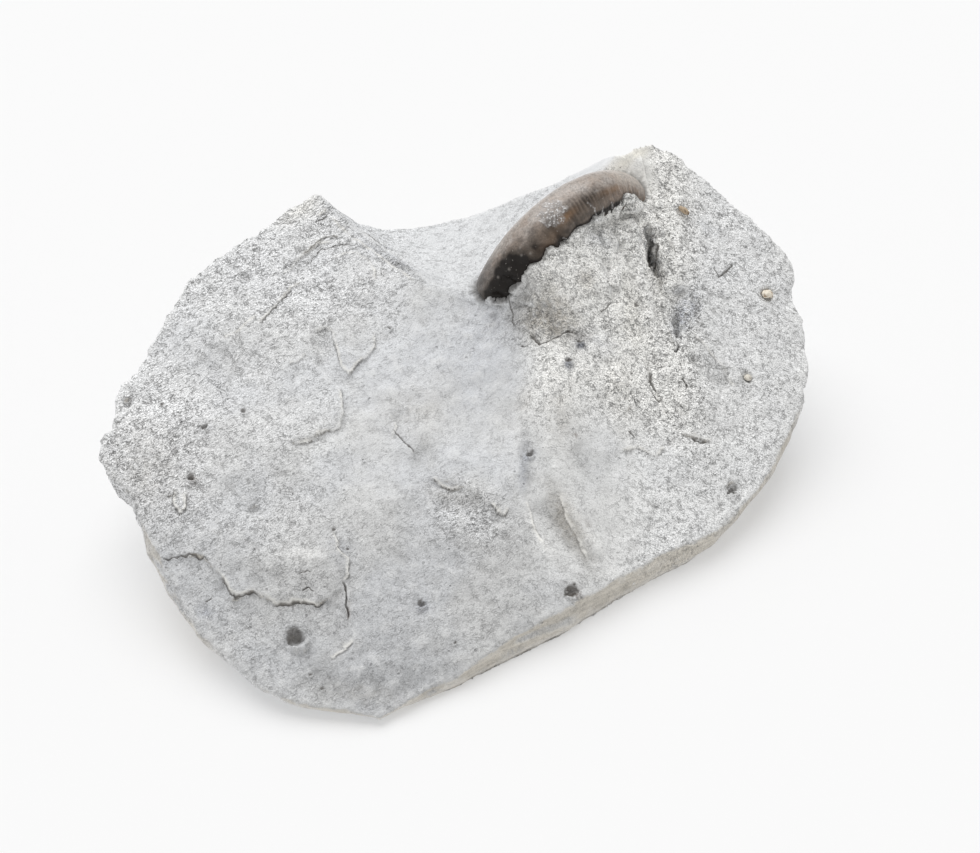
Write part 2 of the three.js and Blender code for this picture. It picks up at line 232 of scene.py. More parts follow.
# Pits in the top, and the torn crevice beside the mound as a plan line.
pits = [
    # x, y, radius
    (-24.6, -36.9, 2.0), (16.2, -27.2, 1.2), (-6.4, -30.6, 0.8), (-40.4, -5.1, 0.7),
    (-41.8, -13.2, 0.8), (-34.7, -1.8, 0.7), (18, 9.6, 0.8), (16.2, 6, 0.7), (10.1, -5.7, 0.8),
    (-17.7, -22.9, 0.4), (-1.4, -36.2, 0.35), (27.5, 17.6, 0.6), (-20.5, -44.2, 0.4),
    (-12.4, 14.9, 0.3), (-47.2, -1.6, 0.5), (-22.4, -42.1, 0.4), (42.4, -6.8, 1.2),
    (-19.9, -20.1, 0.45), (-13.9, 34.3, 0.5),
]
round_pit_radius = 1.6
crevice = [(29.6, 32), (30.4, 29.8), (30.6, 28), (31, 25.6), (31.6, 23)]
# The crest from the left peak down beside the scoop, and the one down from the right peak.
left_crest = [(-25, 37.4), (-22.9, 35), (-19.5, 31.8), (-15.3, 29.4), (-11.1, 25.7), (-8.1, 23)]
right_crest = [(28.4, 45.6), (29.8, 43), (30.4, 40.6), (30.7, 38.4), (31.2, 36.4)]
# The edge of the thin sheet that has come off at the low left.
sheet_edge = [
    (-37.8, -26.9), (-36.2, -28.4), (-35.1, -30.3), (-34, -31.3), (-32.9, -31.1), (-31.5, -30.4),
    (-28.5, -31.8), (-26.4, -31.9), (-25.3, -31.3), (-21.9, -31.3), (-20.4, -30.5),
]

block = copy_of_solid("matrix", "mudstone_block")
# Edges that are real breaks stay sharp. The rest are only facets, and so are those of the pits
# and the crevice, which get ragged edges of their own further on.
sharp_places = []
block_faces = {}
for face in block.data.polygons:
    for key in face.edge_keys:
        block_faces.setdefault(key, []).append(face.normal.copy())
for (start, end), normals in block_faces.items():
    if len(normals) == 2 and normals[0].angle(normals[1], 0) > sharp_angle:
        first, last = block.data.vertices[start].co, block.data.vertices[end].co
        length = (last - first).length
        for step in range(int(length / sharp_step) + 2):
            sharp_places.append(first.lerp(last, min(1, step * sharp_step / length)))
    elif len(normals) == 2 and normals[0].angle(normals[1], 0) > crest_angle:
        ends = np.array([block.data.vertices[number].co for number in (start, end)]) * 1000
        if np.all(along_line(ends, left_crest)[0] < 2) and ends[:, 2].min() > 20:
            for share in np.linspace(0, 1, 12):
                sharp_places.append(Vector(ends[0] + share * (ends[1] - ends[0])) / 1000)
spots = np.array(sharp_places) * 1000
at_foot = spots[:, 2] < 3
real = at_foot | (along_line(spots, crevice)[0] > 2.6)
# The right peak's tip is rounded off too.
real &= np.hypot(spots[:, 0] - 25.5, spots[:, 1] - 43) > 3.5
for x, y, radius in pits:
    real &= at_foot | (np.hypot(spots[:, 0] - x, spots[:, 1] - y) > radius * 1.2 + 0.8)
sharp_tree = kdtree.KDTree(int(real.sum()))
for index, spot in enumerate(spots[real]):
    sharp_tree.insert(Vector(spot) / 1000, index)
sharp_tree.balance()

# The shell's pocket in the stone is filled, so that the stone runs right up to the shell.
plug = copy_of_solid("ammonite", "plug")
apply_modifier(plug, "DISPLACE", strength=0.00052, mid_level=0)
pick(block)
plug.select_set(True)
bpy.ops.object.join()
apply_modifier(block, "REMESH", mode="VOXEL", voxel_size=block_voxel, adaptivity=0)

places = corners_of(block)
to_sharp = np.array([sharp_tree.find(vertex.co)[2] for vertex in block.data.vertices]) * 1000
facet_share = ease(to_sharp, 0.5, 2.4)
facets = block.vertex_groups.new(name="facets")
for level in range(1, facet_levels + 1):
    chosen = np.nonzero(np.round(facet_share * facet_levels) == level)[0]
    facets.add(chosen.tolist(), level / facet_levels, "REPLACE")
apply_modifier(block, "SMOOTH", factor=0.5, iterations=facet_ease_turns, vertex_group="facets")


def scoop_floor(x, y):
    """Height of the scooped fracture between the peaks, which climbs up behind the shell."""
    across = x + 6.9 + 0.58 * (y - 34)
    side = np.where(across > 0, np.hypot(30, 0.9 * across) - 30, np.hypot(66, 2.5 * across) - 66)
    crown = coil_centre + coil_up * coil_end_radius * 0.95
    way = coil_along[:2] / np.linalg.norm(coil_along[:2])
    run = (x - crown[0]) * way[0] + (y - crown[1]) * way[1]
    behind = (y - crown[1]) * way[0] - (x - crown[0]) * way[1]
    hold = np.where(behind > 0, 8.5 * np.exp(-(behind / 5.5) ** 2), 8.5 - 2.5 * behind)
    return 22.5 - 0.16 * (y - 34) + side + hold * ease(run, -10, -2)


def regions_of(places, normals):
    """Shares from 0 to 1 of how far each place belongs to the kinds of surface on the block."""
    x, y, z = places.T
    facing = normals[:, 2]
    scoop = ease(-np.abs(z - scoop_floor(x, y)), -1.0, -0.5) * ease(facing, 0.1, 0.3) * ease(y, 19, 23)
    # The near side of the shell belongs to the mound.
    offset = places - coil_centre
    scoop *= 1 - ease(offset @ coil_axis, 0, 2) * ease(offset @ coil_along, -17, -13)
    # Walls keep clear of the bare shell, but not of the end that is buried behind them.
    angle, _, skin_gap = round_coil(places)[:3]
    wall = (1 - ease(facing, 0.2, 0.5)) * np.maximum(ease(skin_gap, 1, 4), ease(-angle, 4, 12))
    strip = wall * ease(normals[:, 0] * 0.53 - normals[:, 1] * 0.85, 0.45, 0.75) * ease(-y, -12, -4)
    strip = np.maximum(strip, 0.8 * wall * ease(-x, 34, 40) * ease(-y, 18, 23))
    mound = ease(x, 7, 13) * ease(-x, -41, -33) * ease(y, -5, 5) * (1 - scoop) * (1 - wall)
    base = ease(-facing, 0.85, 0.95) * ease(-z, -0.6, -0.2)
    return {"scoop": scoop, "wall": wall, "strip": strip, "mound": mound, "base": base}


# Ledges, swells and cracks that stand out, each with its line in plan. The ground is low on the
# right-hand side of a ledge as its line runs, or on the left if its height is negative.
ledges = [
    # line, height, how far the low ground reaches
    ([(-25.4, 13.2), (-22, 13.5), (-21.1, 11.5), (-20.2, 7.9), (-18.7, 6.4), (-17, 8.5),
      (-14.7, 11.8), (-14.7, 14.7)], 0.32, 2),
    ([(-19.9, 4.2), (-19.2, -0.1), (-19.9, -2.9), (-23.1, -4.2), (-25.1, -5.6), (-27.9, -6.2)], -0.32, 2.2),
    (sheet_edge, 0.2, 1.4),
    (left_crest[1:], -0.14, 1.4),
    ([(-29.6, 22.6), (-27.4, 26.4), (-24.6, 29.4), (-22, 30.4)], 0.16, 1.2),
    ([(-22.6, 26.9), (-21, 28), (-18.4, 28.7), (-16.1, 27.4), (-15, 25.1), (-14.6, 22.8)], -0.2, 1.6),
    ([(-24.6, 34.4), (-23.4, 35.8)], 0.2, 1),
    ([(-44.4, -14.8), (-44.3, -17.7), (-43.1, -19.2), (-42.3, -18.1), (-42.4, -15.1)], 0.3, 1.2),
    ([(-19.8, -20), (-18.9, -23.1), (-17.5, -24.4), (-17.4, -27.1), (-18.3, -28.1)], -0.28, 1.6),
    ([(-5.4, -10.4), (-3.7, -11.4), (-2.2, -11.8), (-0.6, -11.2)], 0.4, 1.8),
    ([(3.7, -13.6), (4.9, -15.1), (6, -15.4), (6.7, -14)], 0.35, 1.4),
    ([(-28.3, 24.7), (-25.9, 28.3), (-23.6, 30.6), (-21.1, 31.4)], 0.2, 2),
    ([(-33.4, 13.3), (-30.4, 17.1), (-28.4, 20.4), (-26.6, 22)], 0.2, 1.8),
    ([(-28.4, 6.8), (-26.5, 7.6), (-25.4, 9.4)], 0.25, 1.2),
    ([(-39, 10.5), (-36.4, 12.2), (-33.6, 15.2)], -0.16, 1.5),
    (right_crest + [(31.8, 34.3), (32.9, 32), (33.7, 30), (34.6, 27.4)], -0.7, 2.2),
    ([(30, 32.4), (30.2, 30.6), (29.5, 28.6), (29.3, 26.8), (30.3, 24.8), (31.2, 22.6),
      (31.7, 20.4)], -1.2, 1.6),
    ([(31.6, 20), (31.7, 18), (32.8, 15.8), (34, 12.5)], -0.5, 2.6),
    ([(28.5, 11.7), (29.6, 8), (30.7, 5.3), (32, 2)], -0.3, 1.6),
    ([(33.9, 0.3), (36.3, 0.2), (39, 0.3)], 0.4, 1.4),
    ([(36.3, 17.3), (38.7, 15.6), (41.9, 12.4), (43.4, 9.7)], 0.25, 1.6),
    ([(24.3, -4.5), (27, -3.2), (30, -4), (31.8, -2.4)], 0.22, 1.6),
    ([(9.5, -12.6), (10.1, -15.4), (11.3, -18.4), (12.6, -20.8)], -0.16, 2.5),
    ([(14.2, -12), (15.2, -15.6), (17.4, -19.2), (18.6, -22)], 0.2, 2.5),
    ([(-19.8, -39.2), (-17.6, -37.6), (-16.2, -36.4)], 0.25, 1.4),
    ([(-12, 0.4), (-10.8, -1.7), (-11.6, -4.4)], -0.2, 1.4),
]
swells = [
    # line in plan, half width, height: ridges, and gullies with a height below zero
    ([(8.9, -1.7), (9.5, -5.4), (9.6, -9.7), (10, -11.9)], 0.8, -0.75),
    ([(10.4, -12.6), (12.6, -15.4), (15.2, -18.5), (17.7, -21.2), (19.7, -23)], 1.2, -0.6),
    ([(12.7, -7), (13.9, -10.6), (16, -14.7), (18.7, -18.8), (21.4, -21.5)], 0.8, 0.5),
    ([(8.2, -11.4), (10.4, -16.2), (12.6, -20.4), (14.6, -23.6)], 0.7, 0.4),
    ([(7.3, 18.8), (10.1, 15.7), (13.3, 12.6), (16.2, 11.2)], 2.2, -0.9),
    ([(13.4, 19.6), (15.3, 16.4), (17.4, 14.6), (19.6, 13.2)], 0.5, 0.45),
    ([(20.9, 12.1), (23.1, 8.4), (24.6, 2.9), (25.4, -2.6)], 1.8, 0.5),
    ([(27.2, 29.8), (27.9, 26), (29, 21.4), (30.4, 15.7), (31.7, 9.7)], 1.0, 0.6),
    ([(22.4, 23.6), (23.2, 20.4), (24.4, 16.8)], 0.9, -0.5),
    ([(22.2, 29.4), (23.2, 28.6), (24, 27.6), (24.6, 26)], 0.3, 0.5),
    ([(19.8, 26.6), (20.6, 26), (21.6, 25), (22, 23.4)], 0.3, 0.4),
    ([(20.4, 27.6), (21.8, 26.6), (23, 25)], 0.5, -0.5),
    ([(24.2, 29.8), (25.2, 28.2), (25.8, 26)], 0.6, -0.6),
    ([(26.6, 33.6), (27.6, 31.2), (28, 28.8)], 0.8, 0.6),
    ([(16.4, 24), (18, 22), (19.4, 19.6)], 0.6, -0.5),
    ([(13.8, 21.4), (15.6, 20.2), (17.6, 18.4)], 0.6, 0.4),
    ([(33.3, 33.4), (34.4, 29.4), (36, 25.4)], 1.2, 0.35),
    ([(35.6, 24), (34.4, 20.6), (33.8, 17.4)], 1.2, -0.8),
    ([(37.4, 23), (37.6, 19.6), (39.4, 16.2)], 0.7, -0.45),
    ([(38.6, 24.4), (39.6, 20), (41.4, 16.6)], 0.8, 0.4),
    ([(36.8, 13.6), (39.8, 11.8), (42.6, 9.6)], 1.6, -0.55),
    ([(29.2, 10.4), (29.8, 6.6), (31, 3.2)], 0.9, -0.5),
    ([(-30.8, -26), (-26.6, -24.9), (-22, -24.2), (-19.2, -25.4)], 1.5, 0.55),
    ([(-15.2, 31.2), (-12.6, 28.6), (-10, 26)], 0.9, -0.5),
    ([(-5.4, -14.6), (-1.4, -13.6), (3, -13.8)], 1.0, -0.4),
    ([(-20.4, -43.4), (-17.6, -40), (-14.4, -38.2), (-10.4, -38)], 0.9, -0.4),
]
cracks = [
    # line, width, depth
    ([(-18.3, -27.6), (-17.6, -30.5), (-17.2, -33.4)], 0.16, 0.5),
    ([(6.5, 19.4), (7.2, 17.6), (7.5, 15.8)], 0.09, 0.25),
    ([(30.3, 31.4), (30.1, 29.6), (29.8, 27.8), (30, 26), (31, 23.8)], 0.4, 0.8),
    ([(31.2, 30.6), (31.4, 29.2), (30.9, 27.6)], 0.25, 0.4),
    ([(34.2, 15.2), (34.3, 14), (33.6, 12.6)], 0.2, 0.5),
    ([(29.3, 9.2), (29.5, 7.4), (30.4, 5.8)], 0.25, 0.3),
    ([(-11.6, -2.2), (-9.4, -4.9), (-7.6, -6.7)], 0.12, 0.2),
    ([(-45.6, -25.7), (-44.3, -25.6), (-40.7, -25.4), (-38.9, -25.6), (-37.9, -26.2)], 0.1, 0.22),
    (sheet_edge[1:6] + [(-30.2, -30.9)], 0.12, 0.3),
    ([(-28.9, -31.6)] + sheet_edge[6:], 0.12, 0.3),
    ([(-38.5, -31.8), (-37.4, -31.3)], 0.16, 0.2),
    ([(-24.9, -27.2), (-23.6, -26.9), (-22.8, -27.1)], 0.1, 0.15),
    ([(-24.3, -30.1), (-23.3, -29.2), (-22.3, -29.6)], 0.1, 0.15),
    ([(-17.6, 36), (-15.6, 35.1), (-13.8, 34.2)], 0.2, 0.3),
    ([(-27.1, 26.9), (-25, 29.6), (-22.8, 31.1), (-21.1, 31.4)], 0.12, 0.15),
    ([(-26.6, 25.2), (-24.4, 28.4), (-21.8, 29.8), (-18.8, 30)], 0.1, 0.12),
    ([(-24.8, 33.4), (-23.2, 35.2)], 0.12, 0.15),
    ([(-33.4, 13.3), (-30.4, 17.1), (-28.4, 20.4)], 0.1, 0.12),
    ([(10.1, 13.7), (11.7, 10.5), (13.7, 10.1), (15.8, 11.1), (17.7, 11.2)], 0.2, 0.3),
    ([(8.6, 12.6), (10, 11.4)], 0.14, 0.2),
    ([(34.6, 9.2), (35.7, 8)], 0.16, 0.25),
    ([(29.4, 5.9), (30.1, 4.8), (31.1, 4.3)], 0.16, 0.25),
    ([(25.5, -1.3), (26.7, -2)], 0.14, 0.2),
    ([(35.5, 0.2), (37.1, -0.3), (38.4, 0.2)], 0.2, 0.3),
    ([(23.2, 17.3), (22.2, 16), (21.3, 14.9)], 0.14, 0.2),
    ([(40.5, 28.9), (41.5, 27.2), (42.6, 28.2), (44.5, 30.2)], 0.14, 0.2),
]


def within(places, line, margin):
    """Numbers of the places within a margin of a line's box in plan."""
    low, high = np.min(line, axis=0) - margin, np.max(line, axis=0) + margin
    return np.nonzero(np.all((places[:, :2] > low) & (places[:, :2] < high), axis=1))[0]


# The mesh is made finer along them, at the pits and where the stone meets the shell.
places = corners_of(block)
close = np.zeros(len(places), dtype=bool)
for line, _, _ in ledges + cracks:
    some = within(places, line, 1)
    close[some] |= along_line(places[some], line)[0] < 0.85
for x, y, radius in pits:
    close |= np.hypot(places[:, 0] - x, places[:, 1] - y) < radius + 0.4
close &= normals_of(block)[:, 2] > 0.2
angle, _, skin_gap, _, bare = round_coil(places)
close |= (np.abs(bare) < 15) & (skin_gap < 1.3) & (angle > -15)
pick(block)
bpy.ops.object.mode_set(mode="EDIT")
bpy.ops.mesh.select_all(action="DESELECT")
bpy.ops.object.mode_set(mode="OBJECT")
ends = edges_of(block)
block.data.edges.foreach_set("select", close[ends].all(axis=1))
bpy.ops.object.mode_set(mode="EDIT")
bpy.ops.mesh.select_mode(type="EDGE")
bpy.ops.mesh.subdivide(number_cuts=2)
bpy.ops.object.mode_set(mode="OBJECT")


def coarseness(places, region):
    """How coarse the break is, about 0.3 where it is smoothest and 1 where it is roughest."""
    x, y, z = places.T
    coarse = 0.30 + 0.30 * ease(-x, 14, 28) * (1 - 0.6 * ease(-y, 18, 27))
    coarse += 0.45 * ease(-x, 36, 46) * ease(-y, -14, 2) * ease(y, -26, -16)
    coarse += 0.45 * ease(y, 10, 20) * ease(-x, 6, 14) + 0.45 * ease(x, 20, 34)
    coarse += 0.65 * region["mound"] + 0.08 * ease(-y, 8, 24)
    coarse *= (1 - 0.25 * region["scoop"]) * (1 - 0.4 * region["strip"])
    peak = ease(y + 0.3 * x, 46.5, 50) * ease(x, 14, 20) * ease(-x, -32.5, -30)
    coarse *= 1 - 0.8 * peak * (1 - region["wall"])
    return np.clip(coarse * (1 + 0.25 * lumps(places, 9, 49)), 0, 1.2)


# The whole surface is first shaken a little sideways, so that no cut edge stays straight.
places = corners_of(block)
normals = normals_of(block)
region = regions_of(places, normals)
free = 1 - region["base"]
for size, reach, seed in ((2.6, 0.30, 1), (0.9, 0.12, 5)):
    calm = free * (1 - 0.8 * region["scoop"]) * (1 - 0.5 * region["strip"])
    if size < 1:
        calm *= coarseness(places, region)
    for axis in range(3):
        places[:, axis] += reach * calm * lumps(places, size, seed + axis)

# Then it is roughened along its normals, most on the mound and least in the scoop.
layer_step = 0.2
bed_step = 0.3
bed_thickness = 2.3
crevice_half_width = 1.2
crevice_lip = 1.3
left_peak = (-24.4, 37)
left_peak_rise = 0.7
foot_tuck = 0.55
coarse = coarseness(places, region)
calm = free * (1 - 0.86 * region["scoop"]) * (1 - 0.6 * region["strip"])
calm *= 0.55 + 0.9 * ease(lumps(places, 14, 15), -0.4, 0.4)
calm *= 1 - 0.65 * ease(places[:, 1], 39.5, 43) * ease(places[:, 0], 14, 20)
rise = 0.24 * lumps(places, 7.5, 11) * (1 + region["mound"])
for size, height, seed in ((2.8, 0.06, 12), (1.2, 0.035, 13), (0.62, 0.03, 14)):
    rise += height * lumps(places, size, seed) * coarse
# Thin layers break off along curved lines: the height climbs slowly and drops at each line.
layer_field = 2.2 * lumps(places * [1, 1, 1.6], 9, 21) + 0.8 * lumps(places, 3.2, 22)
layer_share = layer_field - np.floor(layer_field)
layer_hold = ease(lumps(places, 8, 23), 0.0, 0.4)
rise += layer_step * layer_hold * coarse * (ease(layer_share, 0.92, 1.0) - layer_share + 0.45)
# Ridges and gullies run down the mound and the trough, and the crevice beside it is torn.
wandered = places.copy()
for axis in range(2):
    wandered[:, axis] += 0.7 * lumps(places, 3.1, 36 + axis)
for line, width, height in swells:
    some = within(places, line, 2.5 * width + 1)
    away, _, share = along_line(wandered[some], line)
    alive = ease(share, 0, 0.12) * ease(-share, -1, -0.85) * ease(normals[some, 2], 0.1, 0.3)
    uneven = 1 + 0.5 * lumps(places[some], 1.6, 39)
    rise[some] += height * alive * uneven * np.exp(-(away / width) ** 2)
from_crevice, _, share = along_line(places + 0.6 * lumps(places, 2.2, 26)[:, None], crevice)
torn = np.exp(-(from_crevice / crevice_half_width) ** 2)
rise += torn * (0.5 * lumps(places, 1.3, 27) + 0.3 * lumps(places, 0.7, 28))
# The walls show their beds as shallow level steps.
bed_field = places[:, 2] + 0.06 * places[:, 0] + 0.9 * lumps(places * [0.25, 0.25, 1], 4, 29)
bed_field /= bed_thickness
bed_share = bed_field - np.floor(bed_field)
bed_hold = ease(lumps(places, 12, 30), -0.5, 0.2)
rise += region["wall"] * bed_step * (ease(bed_share, 0.85, 1) - bed_share + 0.4) * bed_hold
# Faint ripples of the clean fracture run across the scoop.
ripple = np.sin((places @ [0.35, -0.9, 0.2]) * 1.1 + 3 * lumps(places, 11, 24))
rise_scoop = 0.03 * ripple * ease(lumps(places, 9, 26), -0.1, 0.5) + 0.12 * lumps(places, 6, 25)
places += normals * (calm * rise + region["scoop"] * rise_scoop)[:, None]
places[:, 2] += crevice_lip * torn * ease(normals[:, 2], -0.2, 0.2)
# The left peak stands a little higher than its facets.
from_peak = np.hypot((places[:, 0] - left_peak[0]) / 2.8, (places[:, 1] - left_peak[1]) / 2.4)
places[:, 2] += left_peak_rise * np.exp(-from_peak ** 2) * ease(places[:, 2], 20, 28)

# Where the shell is bare the stone is drawn in beneath its skin. Elsewhere it covers it.
angle, around, skin_gap, radius, bare = round_coil(places)
inward = coil_centre + (np.cos(np.radians(angle))[:, None] * coil_along
                        + np.sin(np.radians(angle))[:, None] * coil_up) * radius[:, None]
inward -= places
inward /= np.maximum(np.linalg.norm(inward, axis=1), 1e-6)[:, None]
torn_edge = bare + 7 * lumps(places, 1.5, 31) + 4 * lumps(places, 0.6, 32)
reach = 1.9 + 0.5 * lumps(places, 1.6, 33)
draw = 1.4 * (1 - ease(skin_gap, 0.6, reach)) * ease(torn_edge, -4, 3)
places += inward * draw[:, None]
# Where it covers the shell it thickens away from the edge, as a ragged crust.
crust = ease(-bare, -2, 18) * (1 - ease(skin_gap, 0.6, 1.2)) * ease(angle, -10, 0) * ease(around, 15, 40)
crust *= 0.35 + 0.9 * lumps(places, 1.7, 34) + 0.35 * lumps(places, 0.7, 35)
places += normals * crust[:, None]

# The ledges step down at their lines, and the cracks are cut in.
upward = ease(normals[:, 2], 0.1, 0.3)


def beside(places, line, margin, end_share):
    """The places near a wavering line: their numbers, how far off, on which side, how alive.

    The line is fully alive along its middle and dies out over this share of it at each end.
    """
    some = within(places, line, margin)
    flat = places[some] * [1, 1, 0]
    shaken = flat.copy()
    for axis in range(2):
        shaken[:, axis] += 0.22 * lumps(flat, 1.9, 41 + axis) + 0.18 * lumps(flat, 0.7, 43 + axis)
    away, side, share = along_line(shaken, line)
    return some, away, side, ease(share, 0, end_share) * ease(-share, -1, end_share - 1)


def round_pit(places, pit, shift):
    """The places near a pit: their numbers, ragged distance as a share of its radius, and nearness.

    The ragged distance is taken from a middle moved by these shares of the radius. Nearness is
    above 0 on the pit's near side and below 0 on its far side.
    """
    x, y, radius = pit
    some = within(places, [(x, y)], radius * 2)
    right, back = (places[some, 0] - x) / radius, (places[some, 1] - y) / radius
    uneven = min(1, radius) * (0.4 if radius > round_pit_radius else 1)
    ragged = np.hypot(right - shift[0], back - shift[1])
    ragged += uneven * (0.5 * lumps(places[some], 0.9, 45) + 0.3 * lumps(places[some], 0.4, 46))
    return some, ragged, 0.45 * right - 0.9 * back


for line, height, reach in ledges:
    some, away, side, alive = beside(places, line, 3 * reach, 0.12)
    fade = np.exp(-away / reach)
    step = np.where(side * height < 0, -0.8 * fade * ease(away, -0.02, 0.14), 0.35 * fade)
    places[some, 2] += alive * upward[some] * abs(height) * step
for line, width, depth in cracks:
    some, away, _, alive = beside(places, line, 2, 0.15)
    places[some, 2] -= alive * upward[some] * depth * (1 - ease(away, 0.3 * width, 1.1 * width))
for pit in pits:
    some, ragged, nearness = round_pit(places, pit, (0, 0))
    x, y, radius = pit
    # Its floor climbs gently out on the near side.
    floor_share = 1 - ease(np.hypot(places[some, 0] - x, places[some, 1] - y) / radius, 0.6, 1.1)
    climb = 0.95 * floor_share * ease(nearness, -0.7, 0.6)
    places[some, 2] += radius * upward[some] * (climb - 0.35 * (1 - ease(ragged, 0.45, 0.95)))
put_corners(block, places)

# The finest grain of the break, then no more corners than the shape needs.
places = corners_of(block)
normals = normals_of(block)
region = regions_of(places, normals)
calm = (1 - region["base"]) * coarseness(places, region)
places += normals * (calm * 0.05 * lumps(places, 0.45, 51))[:, None]
# The foot of the walls draws in a little above the table.
tucked = foot_tuck * region["wall"] * (1 - ease(places[:, 2], 0.15, 0.9))
places[:, :2] -= normals[:, :2] * tucked[:, None]
low_corner, high_corner = (np.array(corner) * 1000 for corner in solid_box)
put_corners(block, np.clip(places, low_corner, high_corner))
block.data.calc_loop_triangles()
if len(block.data.loop_triangles) > block_most_faces:
    apply_modifier(block, "DECIMATE", ratio=block_most_faces / len(block.data.loop_triangles))
pick(block)
bpy.ops.object.shade_smooth()


def eased_over(values, ends, turns):
    """The values after each corner has been averaged with its neighbours this many times."""
    count = np.bincount(ends.ravel(), minlength=len(values))[:, None]
    for _ in range(turns):
        total = np.stack([
            np.bincount(ends[:, 0], values[ends[:, 1], axis], len(values))
            + np.bincount(ends[:, 1], values[ends[:, 0], axis], len(values))
            for axis in range(values.shape[1])
        ], 1)
        values = 0.5 * values + 0.5 * total / count
    return values


def give_shares(piece, name, shares):
    """Stores one number for each vertex, for the piece's finish to read."""
    layer = piece.data.attributes.new(name, "FLOAT", "POINT")
    layer.data.foreach_set("value", np.ascontiguousarray(shares, dtype=np.float32))


# How hollow each spot is: hollows get dust and painted shade, and edges are rubbed.
places = corners_of(block)
normals = normals_of(block)
ends = edges_of(block)
near = np.sum((eased_over(places, ends, 6) - places) * normals, axis=1)
region = regions_of(places, normals)
give_shares(block, "hollow", np.clip(near / 0.10, -1, 1))
for name in ("scoop", "wall", "strip", "mound"):
    give_shares(block, name, region[name])


def patch(middle, half_sizes, turn=0):
    """A soft oval patch in plan, 1 at its middle."""
    x, y = places[:, 0] - middle[0], places[:, 1] - middle[1]
    level, upright = math.cos(math.radians(turn)), math.sin(math.radians(turn))
    along, across = x * level + y * upright, y * level - x * upright
    return np.exp(-(along / half_sizes[0]) ** 2 - (across / half_sizes[1]) ** 2)


stains = {
    # strength, middle, half sizes, turn in degrees where there is one
    "brown": [
        (1.15, (13.2, 14.2), (5.6, 3), -38), (1, (19.2, 18.6), (1.4, 1.4)), (0.5, (14.5, -1.5), (2.4, 4)),
        (0.95, (15.8, -16.4), (1.5, 5.4), 30), (0.4, (-49, -12), (6, 7)), (0.4, (9.2, 3), (1.4, 3)),
        (0.8, (30.6, 27), (1.2, 5), 8), (0.4, (-3, -12.4), (3.6, 1.2)), (0.35, (-15, -44.5), (5, 1.6)),
        (0.35, (-8, 1), (5, 4)),
    ],
    "rust": [
        (1, (16.4, -27.1), (1.1, 0.8)), (0.8, (-41.6, -13.2), (0.6, 0.7)),
        (0.9, (-17.3, -32.2), (0.35, 1.2)), (1, (17, -4.1), (0.3, 0.3)), (0.5, (18.6, -16.6), (0.6, 0.6)),
        (0.4, (-26, -31.6), (1.2, 0.4)),
    ],
    # Bluish grey patches: over the pits and along the trough's edge they are painted shade.
    "blue": [
        (1, (-6.4, -30.5), (0.8, 0.8)), (0.8, (-13.9, 34.3), (0.8, 0.6)), (0.6, (-38.3, -33.4), (1.2, 1)),
        (0.8, (10.1, -5.7), (0.9, 0.7)), (1, (18, 9.2), (0.8, 0.8)), (0.9, (16.1, 5.6), (0.7, 0.8)),
        (1, (35.6, 20), (1.8, 4.6), -30), (0.45, (21.2, 10.2), (4.5, 2.6)),
        (0.4, (4.2, 17.6), (5, 4), -50), (0.6, (21.4, 26.2), (2.4, 1.6), 30),
        (0.5, (8.9, -7.5), (0.8, 4.4), -5), (0.5, (-40.3, -4.9), (0.7, 0.8)), (0.3, (-19, -23), (2.4, 3)),
        (0.3, (40, 35.4), (3, 1.4), -20), (0.25, (1, 8), (8, 8)), (0.3, (-12, 28.6), (5, 1.6), -25),
    ],
    "cream": [
        (0.6, (29.4, 45.6), (2, 0.8), 40), (1, (26.6, 43.5), (3.4, 0.85), 43),
        (0.35, (-28, 35.4), (5, 1.6), 42), (0.35, (26.5, 17), (2, 6), 5), (0.3, (24.3, 5.3), (2, 6)),
    ],
    # Darker patches: over the pits and along the trough's edge they are painted shade, and the broad ones
    # are darker stone.
    "dark_patch_and_shade": [
        (0.36, (10.2, 15.4), (4.6, 3), -40), (0.4, (15.2, 11.8), (3.4, 2), -30),
        (1.2, (18, 9.3), (0.75, 0.6)), (0.8, (16.1, 5.6), (0.8, 0.6), 40),
        (0.5, (30.2, 19.3), (0.6, 0.6)), (0.28, (-7.2, -6.3), (2.6, 2.2)),
        (0.24, (1.6, -14.8), (4.8, 3.4), -20), (0.25, (-1.2, -20.4), (4, 2.6)),
        (0.3, (9.4, -7.6), (1, 4.4)), (0.34, (15.4, -16.8), (6.4, 1.5), -58),
        (0.3, (17.8, -6.8), (2, 2.4)), (0.2, (-27.8, -28), (4.5, 1.3), -12), (0.2, (-18, -43), (5, 2.6)),
        (0.25, (-10, -42), (7, 3.2), 20), (0.5, (-10.8, 26.6), (3.2, 1.3), -38),
        (0.2, (-40.4, 8.4), (3, 2.6)), (0.14, (38, 3), (3.4, 2.4)), (0.16, (40, 11.6), (3.4, 2.2), -30),
        (0.14, (7, -22), (3.4, 6), -20), (0.22, (34.6, 20.4), (1.3, 3.6), 8),
        (0.14, (-30, -12), (7, 4), 20), (0.18, (-21.5, -41), (3, 2)),
        (0.2, (-18.4, -25.2), (0.8, 2.6), 10),
    ],
    "pale": [
        (0.7, (-23.7, -24.9), (3.6, 1.4)), (0.5, (-15, 33.4), (6, 1.6), -40),
        (0.6, (-27.4, 36.4), (2.6, 2.2), 35), (0.6, (23.2, 20.6), (1.6, 1.6)),
        (0.5, (28.2, 22), (0.9, 5), 12), (0.4, (25, 0), (1.6, 8), 8),
        (0.5, (18.6, -17.6), (6.5, 0.8), -50), (0.4, (11.4, -18.6), (5.4, 0.8), -60),
        (0.4, (35, 29), (1.4, 4), 20), (0.5, (26.5, 42.6), (3.2, 1.8), 30), (0.4, (1.4, -11), (2.4, 1.4)),
        (0.3, (-52, -4), (3, 4)), (0.35, (17, 15.4), (4, 0.7), -42),
    ],
}
upper = ease(normals[:, 2], 0.0, 0.3)
